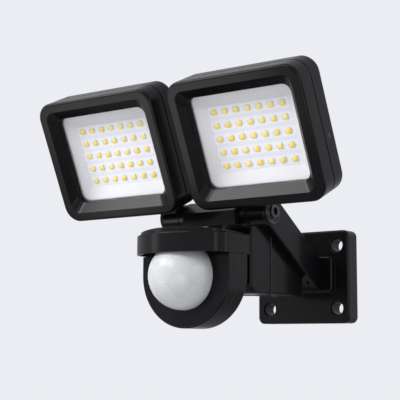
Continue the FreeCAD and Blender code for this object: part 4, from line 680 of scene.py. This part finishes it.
class SECLIGHT_OT_chips(bpy.types.Operator):
    """LEDs: yellow faces with rounded crowns, dark amber sides that carry painted shade, and bright
    solder at both ends
    """
    bl_idname = "seclight.chips"
    bl_label = "LEDs"

    def execute(self, context):
        faces = self.make_phosphor()
        # Painted shade: the LEDs' sides are coloured dark amber, deeper phosphor colour darkened as
        # shade.
        sides = Finish("led_amber", Specular_IOR_Level=0.5, Roughness=0.4)
        amber_side_shade = settings().lamp.amber_side_shade
        sides.set(Base_Color=sides.mix(sides.noise(900, 3), scaled(amber_side_shade, 0.6), amber_side_shade))
        solder = steel_finish("solder", (0.8, 0.81, 0.84), (0.66, 0.68, 0.72), 0.6, 0.15)
        for side in SIDES:
            node = f"{side}_led_chips"
            into = head_frame(side)
            shape = bmesh.new()
            for points in islands(node, into):
                self.add_chip(shape, *span(points))
            finish_piece(f"{side}_leds", shape, [faces, sides, solder], f"{side}_head",
                         [node], into)
        return {"FINISHED"}

    def make_phosphor(self):
        """Yellow phosphor that differs a little from LED to LED."""
        look = settings().lamp
        finish = Finish("led_phosphor", Specular_IOR_Level=0.6)
        x, _, z = finish.parts()
        column = (x / LED_COLUMN_PITCH + 0.5).floor()
        row = ((z - LED_FIELD_CENTRE) / LED_ROW_PITCH + 0.5).floor()
        cell = finish.add("ShaderNodeCombineXYZ", None, {0: column, 2: row})
        lot = finish.add("ShaderNodeTexWhiteNoise", {"noise_dimensions": "3D"}, {0: cell})
        grain = finish.noise(1600, 3)
        base = finish.mix(lot.power(1.6), look.phosphor, look.phosphor_pale)
        base = finish.mix(grain.ramp(0.4, 0.8) * 0.12, base, (0.8, 0.5, 0.08))
        finish.set(Base_Color=base, Roughness=0.35 + grain * 0.2,
                   Normal=finish.bump(grain, 0.00004))
        return finish

    def add_chip(self, shape, low, high):
        """One LED with its crown towards -Y and a solder fillet at each end."""
        size, middle = high - low, (low + high) / 2
        crown = settings().lamp.chip_crown
        inset = size.x * 0.05
        fillet_length, fillet_height = 0.0012, 0.00024
        rings = []
        for inward, depth in ((0, high.y), (0, low.y + crown * 1.6), (inset, low.y + crown),
                              (inset * 3, low.y)):
            left, right = low.x + inward, high.x - inward
            bottom, top = low.z + inward, high.z - inward
            cut = (right - left) * 0.07
            outline = [(left + cut, bottom), (right - cut, bottom), (right, bottom + cut),
                       (right, top - cut), (right - cut, top), (left + cut, top),
                       (left, top - cut), (left, bottom + cut)]
            rings.append([shape.verts.new((x, depth, z)) for x, z in outline])
        for lower, upper, material in zip(rings, rings[1:], (LED_SIDE, LED_FACE, LED_FACE)):
            for step in range(8):
                following = (step + 1) % 8
                face = shape.faces.new((lower[step], lower[following],
                                        upper[following], upper[step]))
                face.material_index = material
        shape.faces.new(rings[-1])
        for side in (1, -1):
            place = Vector((middle.x + side * (size.x + fillet_length) / 2,
                            high.y - fillet_height / 2, middle.z))
            slab(shape, (fillet_length, fillet_height, size.z * 0.62), Matrix.Translation(place),
                 0.0001, LED_SOLDER, 1)


CROSS_ANGLE = math.radians(15)
BOLT_HOLE = 0.00305
STEM_WASHER = 0.006
CHAMFER = 0.0003
SCREWS = [
    ("arm_screws", BACK, "base", "screw_steel"), ("cover_screws", DOWN, "base", "bolt_black"),
    ("bar_screws", FRONT, "base", "screw_steel"), ("box_screws", FRONT, "base", "bolt_black"),
    ("stem_screw", DOWN, "swivel", "screw_steel"), ("sensor_screws", BACK, "sensor", "bolt_black"),
]
SCREWS += [(f"{side}_{kind}_screws", BACK, f"{side}_head", "bolt_black")
           for side in SIDES for kind in ("head", "knuckle")]


def cross_outline(reach):
    """The corners of a cross recess, three for each quarter turn."""
    arm = reach * math.tan(CROSS_ANGLE)
    corners = []
    for quarter in range(4):
        turn = Matrix.Rotation(quarter * math.pi / 2, 2)
        corners += [turn @ Vector(corner) for corner in ((reach, -arm), (reach, arm), (arm, arm))]
    return corners


def many_sided(count, radius):
    """The corners of a regular outline."""
    return [(radius * math.cos(math.tau * step / count), radius * math.sin(math.tau * step / count))
            for step in range(count)]


class SECLIGHT_OT_screws(bpy.types.Operator):
    """Cross-recessed screws with cut threads in place of the plain ones"""
    bl_idname = "seclight.screws"
    bl_label = "Screws"

    def execute(self, context):
        finishes = {
            "screw_steel": steel_finish(),
            "bolt_black": steel_finish("bolt_black", (0.02, 0.02, 0.022), (0.011, 0.011, 0.012),
                                       0.42, 0.7),
        }
        for node, outward, body, slot in SCREWS:
            into = head_frame(body.split("_")[0]) if "_head" in body else Matrix.Identity(4)
            shape = bmesh.new()
            for points in islands(node, into):
                low, high = span(points)
                length = abs((high - low).dot(outward))
                head = (low + high) / 2 + outward * length / 2
                washer = STEM_WASHER if node == "stem_screw" else 0
                self.add_screw(shape, standing(head, outward), length, washer)
            finish_piece(f"{node}_cut", shape, [finishes[slot]], body, [node], into, 40)
        shape = bmesh.new()
        for points in islands("terminal_screws"):
            self.add_terminal_screw(shape, *span(points))
        finish_piece("terminal_screws_cut", shape, [finishes["screw_steel"]], "base",
                     ["terminal_screws"])
        return {"FINISHED"}

    def add_terminal_screw(self, shape, low, high):
        """One slotted grub screw that faces up."""
        radius, length = (high.x - low.x) / 2, high.z - low.z
        top = Matrix.Translation(((low.x + high.x) / 2, (low.y + high.y) / 2, high.z))
        rings = turned(shape, [(0, -length), (radius, -length), (radius, -0.0002),
                               (radius * 0.85, 0)], 24, top)
        recess(shape, rings[-1], slot_outline(radius * 0.7, radius * 0.16), radius * 0.5, top,
               taper=1)

    def add_screw(self, shape, matrix, length, washer):
        """One screw from the middle of its head's face, with its shaft towards -Z."""
        look = settings().fastener
        head, head_length, shaft, tip = 0.0028, 0.0016, 0.0015, 0.0012
        root = shaft * 0.8
        profile = [(0, -length), (root * 0.5, -length + CHAMFER)]
        height = -length + tip
        while height < -head_length - look.thread_pitch * 2 - washer / 2:
            profile += [(root, height), (shaft, height + look.thread_pitch / 2)]
            height += look.thread_pitch
        profile += [(root, height), (root, -head_length), (head * 0.94, -head_length),
                    (head, -head_length + CHAMFER), (head, -0.0005), (head * 0.93, -0.0002),
                    (head * 0.8, 0)]
        rings = turned(shape, profile, 24, matrix, phase=-CROSS_ANGLE)
        recess(shape, rings[-1], cross_outline(head * look.recess_reach), look.recess_depth, matrix)
        if washer:
            foot, top = -0.0036, -head_length
            turned(shape, [(root, foot), (washer - 0.0002, foot), (washer, foot + 0.0002),
                           (washer, top - CHAMFER), (washer - CHAMFER, top), (root, top)], 32,
                   matrix)


class SECLIGHT_OT_pivots(bpy.types.Operator):
    """Socket bolts, cup washers and nuts of the two pivots, and the sensor's hinge pin"""
    bl_idname = "seclight.pivots"
    bl_label = "Pivots"

    def execute(self, context):
        black = steel_finish("pivot_black", (0.016, 0.0165, 0.018), (0.009, 0.009, 0.01), 0.36, 0.2)
        coat = steel_finish("washer_coat", (0.02, 0.0205, 0.022), (0.011, 0.011, 0.012), 0.4, 0.2)
        steel = bpy.data.materials["screw_steel"]
        self.each_side("pivot_bolts", black, "bolt_black", self.add_bolt)
        self.each_side("pivot_washers", coat, "washer_steel", self.add_cap)
        self.each_side("pivot_nuts", steel, "screw_steel", self.add_nut)
        radius, length, matrix = round_node("hinge_pin", RIGHT)
        edge = radius - CHAMFER
        shape = bmesh.new()
        turned(shape, [(0, -length), (edge, -length), (radius, CHAMFER - length),
                       (radius, -CHAMFER), (edge, 0), (radius * 0.4, 0), (radius * 0.3, -0.0004),
                       (0, -0.0004)], 28, matrix)
        finish_piece("hinge_pin_turned", shape, [steel], "swivel", ["hinge_pin"])
        return {"FINISHED"}

    def each_side(self, node, finish, slot, add):
        """A piece with a part at each end of the bar, its outer face at nought and Z outward."""
        shape = bmesh.new()
        for points in islands(node):
            low, high = span(points)
            middle = (low + high) / 2
            outward = Vector((math.copysign(1, middle.x), 0, 0))
            length = high.x - low.x
            add(shape, standing(middle + outward * length / 2, outward), length)
        finish_piece(f"{node}_detail", shape, [finish], "base", [node])

    def add_bolt(self, shape, matrix, length):
        """Round head with a deep hexagon socket on a plain shank."""
        shank, head, socket = 0.003, 0.0052, 0.0032
        face = -0.0006
        rings = turned(shape, [(0, -length), (0.0024, -length), (shank, -length + 0.0006),
                               (shank, -0.0024), (0.0046, -0.0024), (head, -0.0019),
                               (head, -0.0011), (0.0049, -0.0007), (0.0042, face)], 36, matrix)
        recess(shape, rings[-1], many_sided(6, socket), 0.0022,
               matrix @ Matrix.Translation((0, 0, face)), taper=0.96)

    def add_cap(self, shape, matrix, length):
        """Cup washer: a raised rim, a groove and a flat land round the bolt's head."""
        wide = settings().fastener.cap_radius
        turned(shape, [(BOLT_HOLE, -length), (wide - CHAMFER, -length), (wide, -length + 0.0004),
                       (wide, -CHAMFER), (wide - CHAMFER, 0), (wide - 0.0008, 0),
                       (wide - 0.0012, -0.0003), (wide - 0.0014, -0.0011),
                       (wide - 0.0028, -0.0012), (0.0061, -0.0004), (0.0057, 0),
                       (BOLT_HOLE, 0), (BOLT_HOLE, -length)], 48, matrix)

    def add_nut(self, shape, matrix, length):
        """Hexagon nut with rounded corners at both faces."""
        wide = 0.0054
        rings = turned(shape, [(wide * 0.84, -length), (wide, -length + 0.0006),
                               (wide, -0.0006), (wide * 0.84, 0)], 6, matrix)
        for ring, height in ((rings[0], -length), (rings[-1], 0)):
            inner = [shape.verts.new(matrix @ Vector((x, y, height)))
                     for x, y in many_sided(6, BOLT_HOLE)]
            for step in range(6):
                following = (step + 1) % 6
                shape.faces.new((ring[step], ring[following], inner[following], inner[step]))


class SECLIGHT_OT_dials(bpy.types.Operator):
    """Slotted dials with knurled sides, and the breather plugs of the heads"""
    bl_idname = "seclight.dials"
    bl_label = "Dials and plugs"

    def execute(self, context):
        knob = Finish("dial_plastic", Specular_IOR_Level=0.4)
        grain = knob.noise(900, 3)
        knob.set(Base_Color=knob.mix(grain, (0.05, 0.052, 0.058), (0.085, 0.088, 0.096)),
                 Roughness=0.42 + grain * 0.15, Normal=knob.bump(grain, 0.00003, 0.0002))
        for node in ("time_dial", "lux_dial", "sensitivity_dial"):
            self.make_dial(node, knob)
        for side in SIDES:
            self.make_breather(side, bpy.data.materials["seal_rubber"])
        return {"FINISHED"}

    def make_breather(self, side, finish):
        """The plug in the recess on a back's outer side."""
        place = Vector((SIDES[side] * HEAD_HALF_WIDTH, -0.0146, 0.0539))
        radius, top, dip = 0.0024, -0.0002, -0.0006
        shape = bmesh.new()
        turned(shape, [(0, -0.0014), (radius, -0.0014), (radius, -0.0005), (radius - CHAMFER, top),
                       (radius * 0.6, top), (radius * 0.5, dip), (0, dip)], 24,
               standing(place, RIGHT * SIDES[side]))
        finish_piece(f"{side}_breather", shape, [finish], f"{side}_head",
                     matrix=head_frame(side))

    def make_dial(self, node, finish):
        """One dial seen from behind the sensor, with a knurled rim and a slot."""
        radius, length, matrix = round_node(node, BACK)
        shape = bmesh.new()
        ring = turned(shape, [(0, -length), (radius * 0.9, -length), (radius * 0.97, -length * 0.8),
                              (radius * 0.97, -0.0004), (radius * 0.9, -0.0001),
                              (radius * 0.84, 0)], 48, matrix)
        for level in (2, 3):
            for vert in ring[level][::2]:
                middle = matrix @ Vector((0, 0, (matrix.inverted() @ vert.co).z))
                vert.co = middle.lerp(vert.co, 1.03)
        recess(shape, ring[-1], slot_outline(radius * 0.72, 0.0006), 0.001, matrix, taper=0.9)
        finish_piece(f"{node}_knob", shape, [finish], node, [node])


class SECLIGHT_OT_inside(bpy.types.Operator):
    """Boards, transformer, relay, terminals and detector inside the closed shells"""
    bl_idname = "seclight.inside"
    bl_label = "Inside"

    def execute(self, context):
        look = settings().inside
        self.make_board(look).wear("driver_board", "sensor_board")
        self.plain("ring_plastic", (0.03, 0.031, 0.034), (0.045, 0.046, 0.05)).wear("lens_ring")
        self.plain("terminal_plastic", (0.62, 0.62, 0.56), (0.7, 0.7, 0.66)).wear("terminal_block")
        case = self.plain("relay_plastic", look.case, scaled(look.case, 1.4))
        self.make_block("relay", case, "relay_plastic", 0.0007, 0.0004)
        self.make_block("transformer", self.make_core(look), "core_plastic", 0.0009, 0.0012)
        self.make_capacitor()
        self.make_detector()
        return {"FINISHED"}

    def make_capacitor(self):
        """Aluminium can with a rolled groove and a cross cut in its end."""
        can = steel_finish("can_aluminium", (0.62, 0.63, 0.65), (0.5, 0.5, 0.52), 0.25)
        radius, length, matrix = round_node("capacitor", RIGHT)
        shape = bmesh.new()
        rings = turned(shape, [(0, -length), (radius * 0.92, -length), (radius, -length + 0.0004),
                               (radius, -0.0021), (radius * 0.94, -0.0018), (radius, -0.0015),
                               (radius, -0.0004), (radius * 0.9, 0)], 24, matrix,
                       phase=-CROSS_ANGLE)
        recess(shape, rings[-1], cross_outline(radius * 0.7), 0.0001, matrix)
        finish_piece("capacitor_can", shape, [can], "base", ["capacitor"])

    def make_detector(self):
        """Metal can with a rim and a square window."""
        can = steel_finish("detector_can", (0.5, 0.5, 0.52), (0.36, 0.36, 0.38), 0.3)
        radius, length, matrix = round_node("pir_element", FRONT)
        shape = bmesh.new()
        rings = turned(shape, [(0, -length), (radius, -length), (radius, -length + 0.0005),
                               (radius * 0.92, -length + 0.0006), (radius * 0.92, -0.0003),
                               (radius * 0.86, 0)], 24, matrix, phase=math.radians(45))
        recess(shape, rings[-1], many_sided(4, radius * 0.6), 0.0003, matrix, taper=1)
        finish_piece("detector", shape, [can], "sensor", ["pir_element"])

    def plain(self, name, first, second):
        """A moulded plastic with a soft cloud and a fine grain."""
        finish = Finish(name, Specular_IOR_Level=0.42)
        cloud = finish.noise(150, 4)
        finish.set(Base_Color=finish.mix(cloud, first, second), Roughness=0.4 + cloud * 0.15,
                   Normal=finish.bump(finish.noise(2200), 0.00003, 0.0003))
        return finish

    def make_board(self, look):
        """Green solder mask over copper tracks, with tinned pads."""
        board = Finish("circuit_board", Specular_IOR_Level=0.5)
        cells = board.add("ShaderNodeTexBrick", None,
                          {"Vector": board.place, "Scale": 180, "Mortar Size": 0.06}, 1)
        weave = board.noise(2500)
        tracks = board.mix(cells, look.mask, scaled(look.mask, 1.7))
        dots = board.specks(420).ramp(0.18, 0.22, 1, 0)
        board.set(Base_Color=board.mix(dots * 0.7, tracks, look.copper),
                  Roughness=0.35 + weave * 0.2, Normal=board.bump(cells + weave * 0.3, 0.00003))
        return board

    def make_core(self, look):
        """Winding under yellow tape between dark ferrite halves."""
        finish = Finish("core_plastic", Specular_IOR_Level=0.4)
        _, y, z = finish.parts()
        wraps = (z / 0.0011).maths("FRACT")
        cloud = finish.noise(200, 3)
        low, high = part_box("transformer")
        depth = high.y - low.y
        edge = abs(y - (low.y + high.y) / 2).ramp(depth * 0.3, depth * 0.31)
        tape = finish.mix(cloud, scaled(look.tape, 0.8), look.tape)
        finish.set(Base_Color=finish.mix(edge, tape, (0.03, 0.03, 0.032)),
                   Roughness=0.35 + cloud * 0.2, Normal=finish.bump(wraps * 0.4 + cloud, 0.00005))
        return finish

    def make_block(self, node, finish, slot, bevel, rim):
        """A block with soft edges and a raised rim at its top, in place of a plain solid."""
        low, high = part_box(node)
        size, middle = high - low, (low + high) / 2
        shape = bmesh.new()
        slab(shape, (size.x, size.y, size.z - rim),
             Matrix.Translation(middle + DOWN * rim / 2), bevel)
        slab(shape, (size.x - bevel * 3, size.y - bevel * 3, rim * 2),
             Matrix.Translation((middle.x, middle.y, high.z - rim)), bevel / 2)
        finish_piece(f"{node}_case", shape, [finish], "base", [node])


class SECLIGHT_OT_lens(bpy.types.Operator):
    """Milky dome with its lens cells"""
    bl_idname = "seclight.lens"
    bl_label = "Lens"

    def execute(self, context):
        look = settings().lens
        low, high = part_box("sensor_lens")
        centre = Vector(((low.x + high.x) / 2, low.y + look.radius, (low.z + high.z) / 2))
        flange = (high.z - low.z) / 2
        cells = self.cell_centres()
        shape = bmesh.new()
        ring = shape.verts.layers.float.new("cell_ring")
        border = shape.verts.layers.float.new("cell_border")
        back = high.y - centre.y
        inner = look.radius - 0.0012
        foot = -back + 0.0015
        outer_steps, inner_steps = 72, 12
        profile = []
        for step in range(outer_steps + 1):
            angle = math.pi / 2 * step / outer_steps
            profile.append((look.radius * math.sin(angle), look.radius * math.cos(angle)))
        profile += [(look.radius, foot), (flange, foot), (flange, -back), (inner, -back), (inner, 0)]
        for step in range(1, inner_steps + 1):
            angle = math.pi / 2 * step / inner_steps
            profile.append((inner * math.cos(angle), inner * math.sin(angle)))
        turned(shape, profile, 180)
        for vert in shape.verts:
            if vert.co.length < look.radius * 0.99 or vert.co.z < 0:
                vert[border] = 1
                continue
            spread = sorted(vert.co.angle(cell) for cell in cells)
            vert[ring] = spread[0] * look.radius
            vert[border] = (spread[1] - spread[0]) * look.radius / 2
            dip = max(0, 1 - vert[border] / look.groove)
            vert.co *= 1 - look.groove_depth / look.radius * dip
        finish_piece("lens_dome", shape, [self.make_milk()], "sensor",
                     ["sensor_lens"], standing(centre, FRONT), 50)
        return {"FINISHED"}

    def cell_centres(self):
        """Directions of the cells: one ahead, six about it, and ten round the foot."""
        found = [Vector((0, 0, 1))]
        for count, polar, first in ((6, 36, 0), (10, 70, 18)):
            for step in range(count):
                turn = math.radians(first + 360 * step / count)
                lean = math.radians(polar)
                found.append(Vector((math.sin(lean) * math.cos(turn),
                                     math.sin(lean) * math.sin(turn), math.cos(lean))))
        return found

    def make_milk(self):
        """Milky plastic whose cells carry fine rings, with painted shade darkening the grooves
        between the cells.
        """
        look = settings().lens
        finish = Finish("lens_white", Specular_IOR_Level=0.45, Subsurface_Weight=0.35,
                        Subsurface_Radius=(0.004, 0.004, 0.004), Subsurface_Scale=0.4)
        ring = finish.add("ShaderNodeAttribute", {"attribute_name": "cell_ring"}, output="Fac")
        border = finish.add("ShaderNodeAttribute", {"attribute_name": "cell_border"}, output="Fac")
        saw = (ring / 0.0009).maths("FRACT")
        line = border.ramp(0, look.groove, 1, 0)
        cloud = finish.noise(80, 3)
        base = finish.mix(cloud, scaled(look.milk, 0.96), look.milk)
        # Painted shade: the grooves between the cells are coloured darker.
        base = finish.mix(line * 0.5, base, scaled(look.milk, 0.8))
        finish.set(Base_Color=base, Roughness=0.26 + cloud * 0.06,
                   Normal=finish.bump(saw * 0.5 - line, 0.00006))
        return finish


def main():
    """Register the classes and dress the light."""
    register()
    for name in OPERATORS:
        getattr(bpy.ops.seclight, name.bl_idname.split(".")[1])()


class SecurityLightSettings(bpy.types.PropertyGroup):
    """All the settings."""
    stage: PointerProperty(type=StageSettings, name="Stage", description="Camera and lamps")
    shell: PointerProperty(type=ShellSettings, name="Shell", description="Black mouldings")
    lamp: PointerProperty(type=LampSettings, name="Lamp", description="Windows of the heads")
    lens: PointerProperty(type=LensSettings, name="Lens", description="Lens of the sensor")
    fastener: PointerProperty(type=FastenerSettings, name="Fastener",
                              description="Screws and bolts")
    inside: PointerProperty(type=InsideSettings, name="Inside", description="Hidden parts")


OPERATORS = [SECLIGHT_OT_stage, SECLIGHT_OT_shells, SECLIGHT_OT_windows, SECLIGHT_OT_chips,
             SECLIGHT_OT_screws, SECLIGHT_OT_pivots, SECLIGHT_OT_dials, SECLIGHT_OT_inside,
             SECLIGHT_OT_lens]


class SECLIGHT_PT_panel(bpy.types.Panel):
    """Buttons for the light's pieces"""
    bl_idname = "SECLIGHT_PT_panel"
    bl_label = "Security light"
    bl_space_type = "VIEW_3D"
    bl_region_type = "UI"
    bl_category = "Security light"

    def draw(self, context):
        for operator in OPERATORS:
            self.layout.operator(operator.bl_idname)


GROUPS = [StageSettings, ShellSettings, LampSettings, LensSettings, FastenerSettings,
          InsideSettings, SecurityLightSettings]


def register():
    """Register the settings, the operators and the panel."""
    for group in GROUPS + OPERATORS + [SECLIGHT_PT_panel]:
        bpy.utils.register_class(group)
    bpy.types.Scene.security_light = PointerProperty(type=SecurityLightSettings)


def unregister():
    """Take them away again."""
    del bpy.types.Scene.security_light
    for group in reversed(GROUPS + OPERATORS + [SECLIGHT_PT_panel]):
        bpy.utils.unregister_class(group)


if __name__ == "__main__":
    main()
